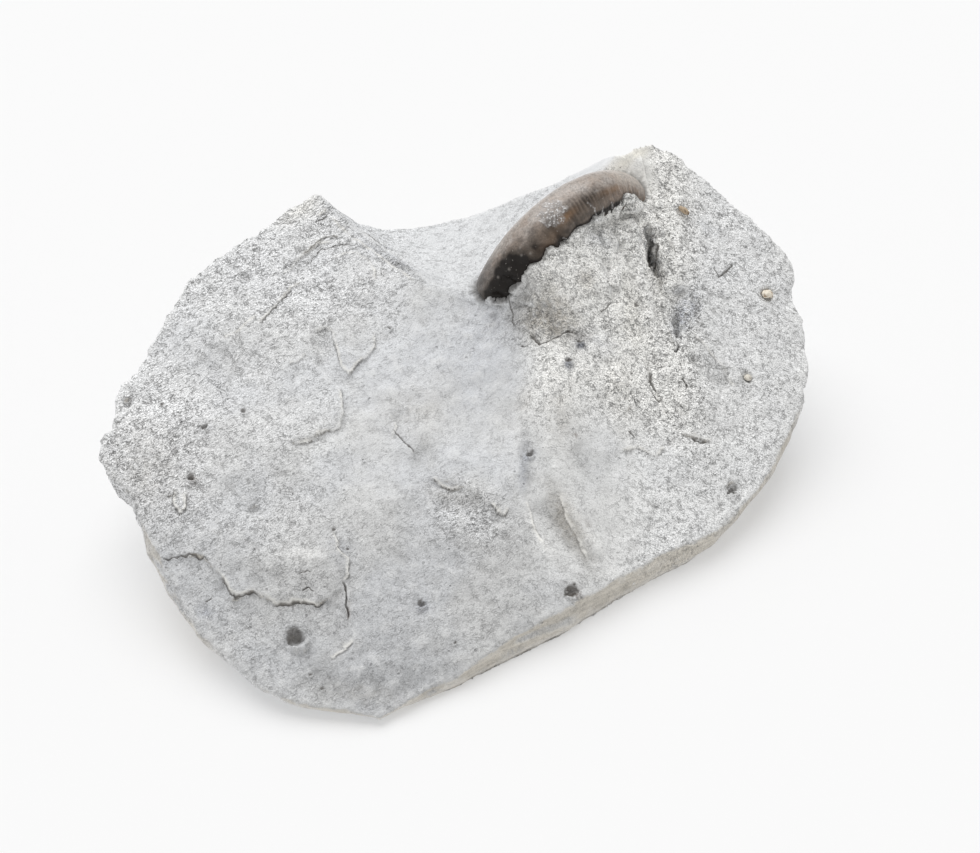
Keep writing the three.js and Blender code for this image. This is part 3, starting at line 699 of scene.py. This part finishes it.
# The cream stain also runs over the edge at the top of the back wall.
over_edge = np.maximum(upper, ease(places[:, 2], 30, 34))
for name, patches in stains.items():
    shares = sum(strength * patch(*where) for strength, *where in patches)
    give_shares(block, name, np.clip(shares * (over_edge if name == "cream" else upper), 0, 1))

# Thin lines of painted shade lie at the foot of the ledges and in the cracks, under pale broken edges with
# a painted highlight.
painted_shade_line, rim = np.zeros(len(places)), np.zeros(len(places))
for line, height, _ in ledges:
    some, away, side, alive = beside(places, line, 1.5, 0.1)
    alive *= 0.35 + 0.65 * ease(lumps(places[some], 2.4, 47), -0.3, 0.2)
    low = side * height < 0
    dark_line = np.where(low, 1 - ease(away, 0.04, 0.17), 1 - ease(away, 0.0, 0.05))
    painted_shade_line[some] = np.maximum(painted_shade_line[some], alive * min(1, abs(height) * 2.6) * dark_line)
    # The high side of a ledge gets a pale lip: pale broken stone with a painted highlight.
    pale_line = np.where(low, 0, ease(away, 0.0, 0.08) * (1 - ease(away, 0.2, 0.5)))
    rim[some] = np.maximum(rim[some], alive * pale_line)
for line, width, _ in cracks:
    some, away, _, alive = beside(places, line, 1, 0.15)
    painted_shade_line[some] = np.maximum(painted_shade_line[some], alive * (1 - ease(away, 0.4 * width, 1.3 * width)))
# A small pit gets painted shade all over. A large one gets a painted shadow only where its far side hangs
# over.
for pit in pits:
    some, ragged, nearness = round_pit(places, pit, (-0.2, 0.5))
    overhung = 1 - (1 - ease(-nearness, 0.15, 0.55)) * ease(pit[2], 1.2, round_pit_radius)
    painted_shade_line[some] = np.maximum(painted_shade_line[some], 0.95 * (1 - ease(ragged, 0.5, 0.85)) * overhung)
# The torn crevice, and the foot of the shell where the stone meets it, get painted shade too.
from_crevice, _, share = along_line(places + 0.6 * lumps(places, 2.2, 26)[:, None], crevice)
ragged = from_crevice + 0.5 * lumps(places, 0.9, 53) + 0.3 * lumps(places, 0.4, 54)
painted_shade_line = np.maximum(painted_shade_line, 0.36 * (1 - ease(ragged, 0.3, 1.3 - 0.5 * share)))
angle, _, skin_gap, _, bare = round_coil(places)
contact = (1 - ease(skin_gap, 0.2, 0.62)) * ease(bare, -16, -4) * ease(angle, -5, 5)
painted_shade_line = np.maximum(painted_shade_line, 0.8 * contact)
give_shares(block, "painted_shade_line", painted_shade_line * (normals[:, 2] > 0))
give_shares(block, "rim", rim)

# How coarse the fine grain looks, where the top is mottled, and where painted shade darkens the low front
# of the top.
x, y, z = places.T
grit = coarseness(places, region) + 0.3 * np.exp(-(from_crevice / 1.4) ** 2)
grit += 0.9 * patch((0.6, -15.6), (5.4, 4), -20) + 0.5 * patch((10.4, 15.2), (4.4, 3.2), -40)
grit += 0.7 * patch((-10.8, 26.6), (3, 1.7), -45) + 0.4 * patch((36, 19), (2.4, 5), -30)
give_shares(block, "grit", 1.35 * grit * (1 + 0.6 * region["scoop"]))
give_shares(block, "low_ground", ease(-y, 6, 22) * upper)
give_shares(block, "right_side", ease(x + 2 * lumps(places, 6, 48), 7, 13))
# Painted shade over the low front of the top.
give_shares(block, "shade", ease(-y, 2, 34) * ease(-x, -26, -12) * (1 - region["wall"]))


class Wire:
    """An output socket of a finish. Arithmetic on it adds Math nodes."""

    def __init__(self, finish, socket):
        self.finish = finish
        self.socket = socket

    def sum_of(self, operation, *values):
        return self.finish.node("Math", {"operation": operation}, dict(enumerate(values)))

    def __add__(self, other):
        return self.sum_of("ADD", self, other)

    __radd__ = __add__

    def __mul__(self, other):
        return self.sum_of("MULTIPLY", self, other)

    __rmul__ = __mul__

    def __sub__(self, other):
        return self.sum_of("SUBTRACT", self, other)

    def __rsub__(self, other):
        return self.sum_of("SUBTRACT", other, self)

    def above(self, low, high):
        """0 below low, 1 above high, and a smooth step between them."""
        settings = {"interpolation_type": "SMOOTHSTEP"}
        return self.finish.node("MapRange", settings, {"Value": self, "From Min": low, "From Max": high})


class Finish:
    """A material. node() adds a node, sets it, joins its inputs and returns an output."""

    def __init__(self, name):
        self.material = bpy.data.materials.new(name)
        self.material.use_nodes = True
        self.tree = self.material.node_tree
        self.surface = self.tree.nodes["Principled BSDF"]
        self.at = self.node("TexCoord", {}, {}, "Object")
        self.colour = None

    def node(self, kind, settings, inputs, output=0):
        node = self.tree.nodes.new("ShaderNode" + kind)
        for key, value in settings.items():
            setattr(node, key, value)
        self.join(node, inputs)
        return Wire(self, node.outputs[output])

    def join(self, node, inputs):
        for key, value in inputs.items():
            if isinstance(value, Wire):
                self.tree.links.new(value.socket, node.inputs[key])
            else:
                node.inputs[key].default_value = value

    def share(self, name):
        """A number stored on the piece's vertices."""
        return self.node("Attribute", {"attribute_name": name}, {}, "Fac")

    def grain(self, size, detail, roughness, distortion=0.0, at=None):
        """Cloudy noise with lumps of this size in millimetres."""
        inputs = {"Vector": at or self.at, "Scale": 1000 / size, "Detail": detail,
                  "Roughness": roughness, "Distortion": distortion}
        return self.node("TexNoise", {}, inputs)

    def mix(self, share, under, over, blend="MIX"):
        """One colour over another. A colour is an output or three numbers."""
        under, over = (value if isinstance(value, Wire) else (*value, 1) for value in (under, over))
        settings = {"data_type": "RGBA", "blend_type": blend}
        return self.node("Mix", settings, {0: share, 6: under, 7: over}, 2)

    def lay(self, share, over, blend="MIX"):
        """Lays a colour over the finish's own colour so far."""
        self.colour = self.mix(share, self.colour, over, blend)

    def relief(self, height, reach):
        """A Bump node: the height's full range stands this many millimetres high."""
        return self.node("Bump", {}, {"Height": height, "Distance": reach / 1000, "Strength": 1.0})

    def finish(self, piece, **inputs):
        """Joins the surface's own inputs and puts the finish on a piece."""
        self.join(self.surface, {key.replace("_", " "): value for key, value in inputs.items()})
        self.join(self.surface, {"Base Color": self.colour})
        piece.data.materials.clear()
        piece.data.materials.append(self.material)


stone = Finish("grey_mudstone")
wall, hollow, grit = stone.share("wall"), stone.share("hollow"), stone.share("grit")
low_ground, right_side = stone.share("low_ground"), stone.share("right_side")
calm = 1 - stone.share("scoop") * 0.75

# Colour: cool and warm greys in broad drifts, then a tint for each kind of surface and painted shade on the
# low front, then stains.
cool_grey, warm_grey = (0.645, 0.657, 0.675), (0.665, 0.665, 0.655)
drift = stone.grain(17, 3, 0.55).above(0.38, 0.62)
stone.colour = stone.mix(drift, cool_grey, warm_grey)
for name, strength, tint in (
    ("grit", 0.6, (0.85, 0.855, 0.86)), ("right_side", 0.25, (0.92, 0.92, 0.90)),
    ("mound", 0.7, (0.93, 0.92, 0.88)), ("scoop", 0.9, (0.72, 0.73, 0.74)),
    ("strip", 0.9, (0.63, 0.59, 0.52)), ("shade", 0.24, (0.0, 0.0, 0.0)),
):
    stone.lay(stone.share(name) * strength, tint)
cloudy = 0.5 + stone.grain(2.1, 3, 0.6).above(0.34, 0.6) * 0.7
# Darker patches, painted shade where they lie over the pits and the trough's edge.
stone.lay(stone.share("dark_patch_and_shade") * cloudy, (0.02, 0.02, 0.018))
stone.lay(stone.share("pale") * 0.8, (0.93, 0.925, 0.905))
patchy = 0.45 + stone.grain(1.1, 4, 0.7).above(0.36, 0.62) * 0.55
# Bluish patches, painted shade over the pits and the trough's edge.
stone.lay(stone.share("blue") * patchy * 0.75, (0.36, 0.385, 0.45))
stone.lay(stone.share("brown") * patchy * 0.7, (0.38, 0.345, 0.29))
stone.lay(stone.share("cream") * 0.9, (0.88, 0.85, 0.77))
# The grain has soft blotches, mottles and flakes. The flakes are drawn out along the break.
blotch = stone.grain(2.4, 5, 0.65)
mottle = stone.grain(1.0, 4, 0.7, 0.4)
turned_lay = {"vector_type": "TEXTURE"}
flake_size = 0.29
stroke_size = 0.85
# How far the flakes of each face are turned, in degrees, and how long they are drawn.
left_lie, right_lie = (38, 2.2), (-34, 1.9)


def grain_along(size, detail, distortion, away=(0, 0, 0)):
    """Noise drawn out with the flakes: one way on the left face, another on the right."""
    left, right = (
        stone.grain(size, detail, 0.65, distortion, stone.node("Mapping", turned_lay, {
            "Vector": stone.at, "Location": away, "Scale": (stretch, 1, 1),
            "Rotation": (0, 0, math.radians(turned)),
        }))
        for turned, stretch in (left_lie, right_lie)
    )
    return left * (1 - right_side) + right * right_side


flakes = grain_along(flake_size, 2, 0.6)
drag = grain_along(1.3, 3, 0.3)
# Painted light and shade: a flake's far edge gets a painted highlight and its near edge painted shade.
edges = grain_along(flake_size, 2, 0.6, (-0.00005, 0.00012, 0.00009)) - flakes
tiny = stone.grain(0.2, 1, 0.6)
clumps = stone.grain(4.2, 3, 0.6).above(0.36, 0.6)
tone = 1 + (blotch - 0.5) * 0.12 * calm + (mottle - 0.5) * 0.4 * low_ground
tone = tone + (edges * 0.9 + (tiny - 0.5) * 1.7) * grit
stone.lay(1.0, tone, "MULTIPLY")
# Dark specks lie between the flakes, partly painted shade, the flake tops get a painted highlight, and
# single dark dots lie here and there.
cavity = (1 - flakes.above(0.28, 0.33)) * (0.6 + clumps * 0.4) * grit
stone.lay(cavity * 0.30, (0.19, 0.19, 0.195))
crest = flakes.above(0.60, 0.70) * grit
stone.lay(crest * 0.35, (0.88, 0.88, 0.88))
dots = stone.node("TexVoronoi", {}, {"Vector": stone.at, "Scale": 1000 / 1.5})
dot_share = (1 - dots.above(0.08, 0.15)) * stone.grain(3.1, 1, 0.5).above(0.56, 0.62) * calm
stone.lay(dot_share * 0.45, (0.13, 0.13, 0.14))
# The walls show their beds as thin level bands.
bands = stone.grain(0.8, 4, 0.65, 0.3, stone.node("Mapping", turned_lay, {
    "Vector": stone.at, "Rotation": (0, math.radians(3), 0), "Scale": (7, 7, 1),
}))
stone.lay(wall, stone.mix(1.0, stone.colour, 1 + (bands - 0.5) * 0.9, "MULTIPLY"))
# Thin dark curls where one flake ends over another, large and small.
curl = stone.grain(1.4, 2, 0.5, 1.4)
line_gap = stone.node("Math", {"operation": "ABSOLUTE"}, {0: curl - 0.5})
curls = (1 - line_gap.above(0.014, 0.034)) * stone.grain(1.7, 2, 0.5).above(0.52, 0.58) * grit
stone.lay(curls * 0.36, (0.16, 0.155, 0.15))
# Short dark strokes where small flakes end, partly painted shade, each with a painted highlight as its pale
# lip. They lie along the break.
stroke = grain_along(stroke_size, 2, 0.8) - 0.5
stroke_gap = stone.node("Math", {"operation": "ABSOLUTE"}, {0: stroke})
stroke_share = stone.grain(0.8, 2, 0.6).above(0.52, 0.58) * grit
strokes = (1 - stroke_gap.above(0.016, 0.038)) * stroke_share
lip_highlights = stroke.above(0.038, 0.055) * (1 - stroke.above(0.080, 0.105)) * stroke_share
stone.lay(strokes * 0.42, (0.17, 0.168, 0.165))
stone.lay(lip_highlights * 0.35, (0.93, 0.93, 0.92))
rusty = stone.share("rust") * stone.grain(0.5, 3, 0.7).above(0.35, 0.55)
stone.lay(rusty * 0.85, (0.10, 0.065, 0.045))
# Dust and painted shade darken the hollows. Rubbed edges are paler.
dust_and_shade = hollow.above(0.2, 0.95)
stone.lay(dust_and_shade * (0.06 + grit * 0.12), (0.25, 0.24, 0.23))
rubbed = (0 - hollow).above(0.2, 0.95)
stone.lay(rubbed * 0.25, (0.88, 0.88, 0.87))
# The pale lips of the ledges carry a painted highlight.
stone.lay(stone.share("rim") * 0.75, (0.90, 0.885, 0.84))
# Painted shade in the thin dark lines.
stone.lay(stone.share("painted_shade_line") * 0.8, (0.10, 0.09, 0.08))
height = (flakes * 0.22 + tiny * 0.28 + drag * 0.12) * grit + blotch * 0.1 * calm + bands * wall * 0.4
height = height + mottle * 0.3 * low_ground
height = height - curls * 0.3 - dot_share * 0.4 - strokes * 0.28 + lip_highlights * 0.1
grain_reach = 0.36
stone.finish(block, Roughness=0.92, Normal=stone.relief(height, grain_reach))
stone.surface.inputs["Specular IOR Level"].default_value = 0.25
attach(block, "root")
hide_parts("matrix")

# ---- The ammonite --------------------------------------------------------------------
# The outer whorl of a ribbed coil, in brown calcite worn smooth and waxy. It stands on edge in
# the stone. Fine ribs cross its sides, and its open end is broken and dark.

shell_turn = 185
shell_rings = 400
shell_ring_corners = 144
# A degree along the coil, or round its tube, in millimetres of skin.
skin_along = 0.26
skin_around = 0.072
# How many degrees of the coil one fold, one rib and one fine rib take up.
fold_step = 11.5
rib_step = 6.8
fine_rib_step = 2.2

bpy.ops.object.select_all(action="DESELECT")
bpy.ops.mesh.primitive_circle_add(
    vertices=shell_ring_corners, radius=coil_thickness * coil_end_radius / 1000,
    location=(coil_end_radius / 1000, 0, 0), rotation=(math.radians(90), 0, 0),
)
shell = bpy.context.object
shell.name = "ammonite_whorl"
bpy.ops.object.transform_apply(location=True, rotation=True, scale=True)
bpy.ops.object.mode_set(mode="EDIT")
bpy.ops.mesh.select_all(action="SELECT")
bpy.ops.mesh.spin(
    steps=shell_rings, angle=math.radians(shell_turn), center=(0, 0, 0), axis=(0, 0, 1),
)
bpy.ops.mesh.select_all(action="DESELECT")
bpy.ops.mesh.select_mode(type="EDGE")
bpy.ops.mesh.select_non_manifold(extend=False)
bpy.ops.mesh.fill()
bpy.ops.mesh.select_all(action="SELECT")
bpy.ops.mesh.normals_make_consistent(inside=False)
bpy.ops.object.mode_set(mode="OBJECT")

# The spun ring is read as an angle round the coil and an angle round the tube. It is then
# given the coil's growth, its ribs and its wear.
spun = corners_of(shell)
turn = (np.degrees(-np.arctan2(spun[:, 1], spun[:, 0])) + 1) % 360 - 1
around = np.degrees(np.arctan2(spun[:, 2], np.hypot(spun[:, 0], spun[:, 1]) - coil_end_radius))
angle = coil_end_angle - turn
radius = coil_end_radius * coil_growth ** ((angle - coil_end_angle) / 360)
thickness = coil_thickness * radius
# The shell's skin laid out flat, in millimetres: along the coil, and round the tube.
skin = np.stack([angle * skin_along, around * skin_around, np.zeros(len(angle))], 1)


def on_skin(at_angle, at_around, along, across):
    """A soft patch on the shell's skin, 1 at its middle, with its half sizes in millimetres."""
    forward = (skin[:, 0] - at_angle * skin_along) / along
    sideways = (skin[:, 1] - at_around * skin_around) / across
    return np.exp(-forward ** 2 - sideways ** 2)


# The line between the smooth outer edge and the ribbed side, by angle along the coil.
side_line = np.interp(angle, [8, 50, 66, 90, 105, 127, 147], [34, 30, 16, 10, 2, -2, 2])
side_line = side_line + 9 * lumps(skin, 2.6, 72) + 5 * lumps(skin, 0.9, 73)
flank = np.where(around > -60, ease(around - side_line, -16, 26), ease(-around, 70, 100))
wander = lumps(skin, 2.2, 61)
folds = np.cos(np.radians(angle * 360 / fold_step) + 1.6 * wander)
near_ribs = ease(angle, 6, 14) * ease(-angle, -68, -58)
far_ribs = ease(angle, 58, 68) * ease(-angle, -100, -84) * (1 - 0.8 * ease(around, 34, 56))
rib_phase = np.radians(angle * 180 / rib_step) + 1.9 * wander
fine_wave = np.cos(np.radians(angle * 360 / fine_rib_step) + 2.6 * wander)
relief = (0.06 + 0.2 * ease(angle, 76, 96)) * flank * folds * ease(angle, 40, 70)
uneven = 0.5 + 0.9 * ease(lumps(skin, 1.5, 69), -0.4, 0.4)
relief += 0.2 * flank * near_ribs * (1 - np.abs(np.cos(rib_phase))) * uneven
relief += 0.03 * ease(around, 0, 30) * near_ribs * fine_wave + 0.09 * flank * far_ribs * fine_wave * uneven
relief += 0.07 * lumps(skin, 3.1, 62) + 0.03 * lumps(skin, 1.1, 63) + 0.012 * lumps(skin, 0.5, 64)
calcite = np.clip(on_skin(92, 4, 1.9, 2.6) * 1.5 - 0.35 + 0.5 * lumps(skin, 0.9, 65), 0, 1)
calcite = ease(calcite, 0.05, 0.45)
relief += calcite * (0.04 + 0.09 * lumps(skin, 0.55, 66))
# Beads and a chip stand on the skin.
for at_angle, at_around, size, height in (
    (115, 12, 0.34, 0.16), (114, 36, 0.36, 0.2), (126, 21, 0.32, 0.2), (117.5, 24, 0.26, 0.1),
    (66, 24, 0.5, 0.08), (133, 9, 0.25, 0.12), (108, 47, 0.3, 0.1),
):
    relief += height * on_skin(at_angle, at_around, size, size)
# The dark hollow where the open end is broken on the near side.
break_gap = np.hypot((angle - 137) / 10, (around - 38) / 30) + 0.16 * lumps(skin, 0.9, 67)
broken = 1 - ease(break_gap, 0.55, 1.0)
relief -= 0.55 * broken
thickness += relief
# The buried end tapers off inside the stone.
thickness *= 1 - 0.45 * ease(-angle, 10, 26)
sway = np.radians(angle)
out = radius + thickness * np.cos(np.radians(around))
side = thickness * np.sin(np.radians(around))
put_corners(shell, coil_centre + (out * np.cos(sway))[:, None] * coil_along
            + (out * np.sin(sway))[:, None] * coil_up + side[:, None] * coil_axis)
pick(shell)
bpy.ops.object.shade_smooth()

veins = np.zeros(len(angle))
for line in ([(75, 33), (71.8, 60), (72, 78), (70.5, 96)], [(65, 66), (66.5, 80), (66, 98)],
             [(58, 62), (57.2, 84)], [(97, 70), (96, 92)]):
    laid = np.array(line) * [skin_along, skin_around]
    away, _, share = along_line(skin + 0.12 * lumps(skin, 0.8, 68)[:, None], laid)
    veins = np.maximum(veins, (1 - ease(away, 0.05, 0.2)) * ease(share, 0, 0.2))
beads = on_skin(66, 25, 0.55, 0.18)
for place in ((115, 12), (114, 36), (126, 21), (66, 24), (117.5, 24), (133, 9)):
    beads += on_skin(*place, 0.15, 0.15)
give_shares(shell, "flank", flank)
give_shares(shell, "calcite", np.clip(calcite + 0.9 * veins, 0, 1))
give_shares(shell, "beads", np.clip(beads, 0, 1))
line_gap = np.interp(angle, *np.transpose(shell_meets)) - around
line_gap = np.where(around > 0, line_gap, 90)
# Painted shadow in the gaps where the stone stands off the shell.
gap_shadow = 1.2 * on_skin(56, 82, 2.4, 0.9) + 0.8 * on_skin(72, 84, 1.4, 0.5)
# Darker towards the broken end, partly dark calcite and partly painted shade; painted shade in the fold
# troughs and beside the stone's edge; and random dark mottling.
deep = 0.95 * ease(angle, 108, 132) * flank + 0.6 * ease(angle, 118, 144)
deep += 0.45 * ease(angle, 76, 104) * ease(around, 34, 75)
deep += 0.3 * ease(angle, 52, 76) * flank + 0.3 * ease(-folds, 0.0, 1) * flank * ease(angle, 60, 80)
deep += 0.5 * (1 - ease(line_gap, 2, 9)) * ease(angle, 20, 50)
deep += 0.25 * ease(lumps(skin, 1.3, 74), -0.1, 0.5) * flank
deep += 0.2 * ease(angle, 98, 122) * ease(lumps(skin, 1.1, 76), -0.4, 0.3)
give_shares(shell, "dark", np.clip(broken + deep + gap_shadow, 0, 1))
# The low parts between the ribs are painted dark: painted shade.
rib_low = np.abs(np.cos(rib_phase)) ** 4
grooves = 0.6 * near_ribs * rib_low + far_ribs * (0.5 - 0.5 * fine_wave) * uneven
give_shares(shell, "grooves", flank * np.clip(grooves, 0, 1))
warm = ease(-angle, -66, -50) * ease(around, 22, 50) * (0.6 + 0.5 * lumps(skin, 1.2, 75))
give_shares(shell, "warm", np.clip(warm, 0, 1))
give_shares(shell, "lit_end", np.clip(ease(-angle, -56, -40) * (1 - flank), 0, 1))
amber = on_skin(88, 36, 1.5, 0.7) + 0.7 * on_skin(56, 36, 2.2, 0.7) + 0.35 * on_skin(103, 50, 2, 1)
give_shares(shell, "amber", np.clip(amber, 0, 1))

worn_brown, deep_brown = (0.45, 0.405, 0.37), (0.33, 0.275, 0.235)
waxy = Finish("waxy_brown_calcite")
dark = waxy.share("dark")
cloud = waxy.grain(2.6, 4, 0.6)
pores = waxy.grain(0.36, 3, 0.7)
specks = waxy.grain(0.7, 3, 0.65).above(0.52, 0.66)
waxy.colour = waxy.mix(cloud.above(0.35, 0.65), worn_brown, deep_brown)
# The ribbed side is a darker brown, partly painted shade where it faces down.
waxy.lay(waxy.share("flank") * 0.92, (0.19, 0.145, 0.11))
waxy.lay(waxy.share("warm") * 0.7, (0.31, 0.225, 0.17))
waxy.lay(waxy.share("lit_end") * 0.6, (0.52, 0.46, 0.40))
# Painted shade between the ribs.
waxy.lay(waxy.share("grooves") * 0.65, (0.035, 0.026, 0.02))
waxy.lay(1.0, 1 + (pores - 0.5) * 1.7 + (cloud - 0.5), "MULTIPLY")
waxy.lay(specks * 0.35, (0.12, 0.095, 0.08))
# Near black: the broken end's dark calcite, with the painted shade and painted shadow gathered in this
# share.
waxy.lay(dark * 0.97, (0.010, 0.008, 0.007))
waxy.lay(waxy.share("amber") * 0.75, (0.27, 0.16, 0.085))
crystals = waxy.grain(0.6, 3, 0.7).above(0.44, 0.56)
white_part = waxy.share("calcite") * (0.3 + crystals * 0.7)
waxy.lay(white_part * 0.75, (0.52, 0.50, 0.49))
sparks = waxy.grain(0.3, 1, 0.5).above(0.60, 0.66) * waxy.share("calcite")
waxy.lay(sparks * 0.9, (0.86, 0.85, 0.84))
flecks = waxy.grain(0.36, 2, 0.5).above(0.70, 0.76) * (0.5 + dark * 0.5)
waxy.lay(flecks * 0.6, (0.55, 0.52, 0.48))
waxy.lay(waxy.share("beads") * 0.6, (0.40, 0.37, 0.34))
waxy.finish(
    shell, Roughness=0.36 + (pores - 0.5) * 0.3 + white_part * 0.2,
    Coat_Weight=0.6 * (1 - dark),
    Normal=waxy.relief(pores * 0.8 + cloud * 0.8 + waxy.share("calcite") * crystals, 0.10),
)
waxy.surface.inputs["Specular IOR Level"].default_value = 0.25
waxy.surface.inputs["Coat Roughness"].default_value = 0.25
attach(shell, "root")
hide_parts("ammonite")

# ---- The shell fragments -------------------------------------------------------------
# Three bits of other shells, each a rounded cream or tan grain set in its own small socket.

fragments = [
    # solid, turn, stretch, body colour, rim colour, slot
    ("shell_fragment_right", 25, (1.35, 1.2, 1.25), (0.85, 0.78, 0.66), (0.36, 0.25, 0.16), "cream_shell"),
    ("shell_fragment_top", -35, (1.2, 0.9, 1.2), (0.50, 0.39, 0.27), (0.16, 0.10, 0.06), "tan_shell"),
    ("shell_fragment_low", 60, (1.3, 1.25, 1.2), (0.74, 0.70, 0.62), (0.40, 0.36, 0.30), "cream_shell"),
]
for number, (node_name, turned, stretch, body, rim, slot) in enumerate(fragments):
    low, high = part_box(node_name)
    middle = (Vector(low) + Vector(high)) / 2
    half = (Vector(high) - Vector(low)) / 2
    bpy.ops.object.select_all(action="DESELECT")
    bpy.ops.mesh.primitive_ico_sphere_add(subdivisions=5, radius=1)
    bit = bpy.context.object
    bit.name = node_name.replace("shell_fragment", "shell_grain")
    bit.scale = [size * share for size, share in zip(half, stretch)]
    bit.rotation_euler = (0, math.radians(18), math.radians(turned))
    bit.location = middle
    bpy.ops.object.transform_apply(location=True, rotation=True, scale=True)
    places = corners_of(bit)
    rough = 0.10 * lumps(places, 0.7, 71 + number) + 0.04 * lumps(places, 0.3, 75)
    put_corners(bit, places + normals_of(bit) * rough[:, None])
    bpy.ops.object.shade_smooth()
    worn_shell = Finish(bit.name + "_surface")
    bands = worn_shell.grain(0.5, 4, 0.6)
    worn_shell.colour = worn_shell.mix(bands.above(0.36, 0.46), rim, body)
    worn_shell.finish(
        bit, Roughness=0.6 + (bands - 0.5) * 0.3, Normal=worn_shell.relief(bands, 0.08),
    )
    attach(bit, "root")
    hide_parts(node_name)

# ---- The floor and the light ---------------------------------------------------------
# A white table that glows faintly, under a broad soft light from above and behind.

table_size = 6
table_grey = 0.58
table_glow = 0.315
sky_strength = 0.58
window_strength = 1.86
window_spread = math.radians(62)
window_place = (-0.20, 0.46, 0.87)

bpy.ops.mesh.primitive_plane_add(size=table_size)
floor = bpy.context.object
floor.name = "table_top"
floor_finish = bpy.data.materials.new("white_table")
floor_finish.use_nodes = True
white = floor_finish.node_tree.nodes["Principled BSDF"]
white.inputs["Base Color"].default_value = (table_grey, table_grey, table_grey, 1)
white.inputs["Emission Color"].default_value = (1, 1, 1, 1)
white.inputs["Emission Strength"].default_value = table_glow
white.inputs["Roughness"].default_value = 0.9
floor.data.materials.append(floor_finish)

world = bpy.data.worlds.new("studio")
world.use_nodes = True
world.node_tree.nodes["Background"].inputs["Color"].default_value = (1, 1, 1, 1)
world.node_tree.nodes["Background"].inputs["Strength"].default_value = sky_strength
bpy.context.scene.world = world
bpy.context.scene.view_settings.view_transform = "Standard"

lamp_data = bpy.data.lights.new("window", "SUN")
lamp_data.energy = window_strength
lamp_data.angle = window_spread
lamp = bpy.data.objects.new("window", lamp_data)
bpy.context.collection.objects.link(lamp)
lamp.location = window_place
lamp.rotation_euler = (-lamp.location).to_track_quat("-Z", "Y").to_euler()
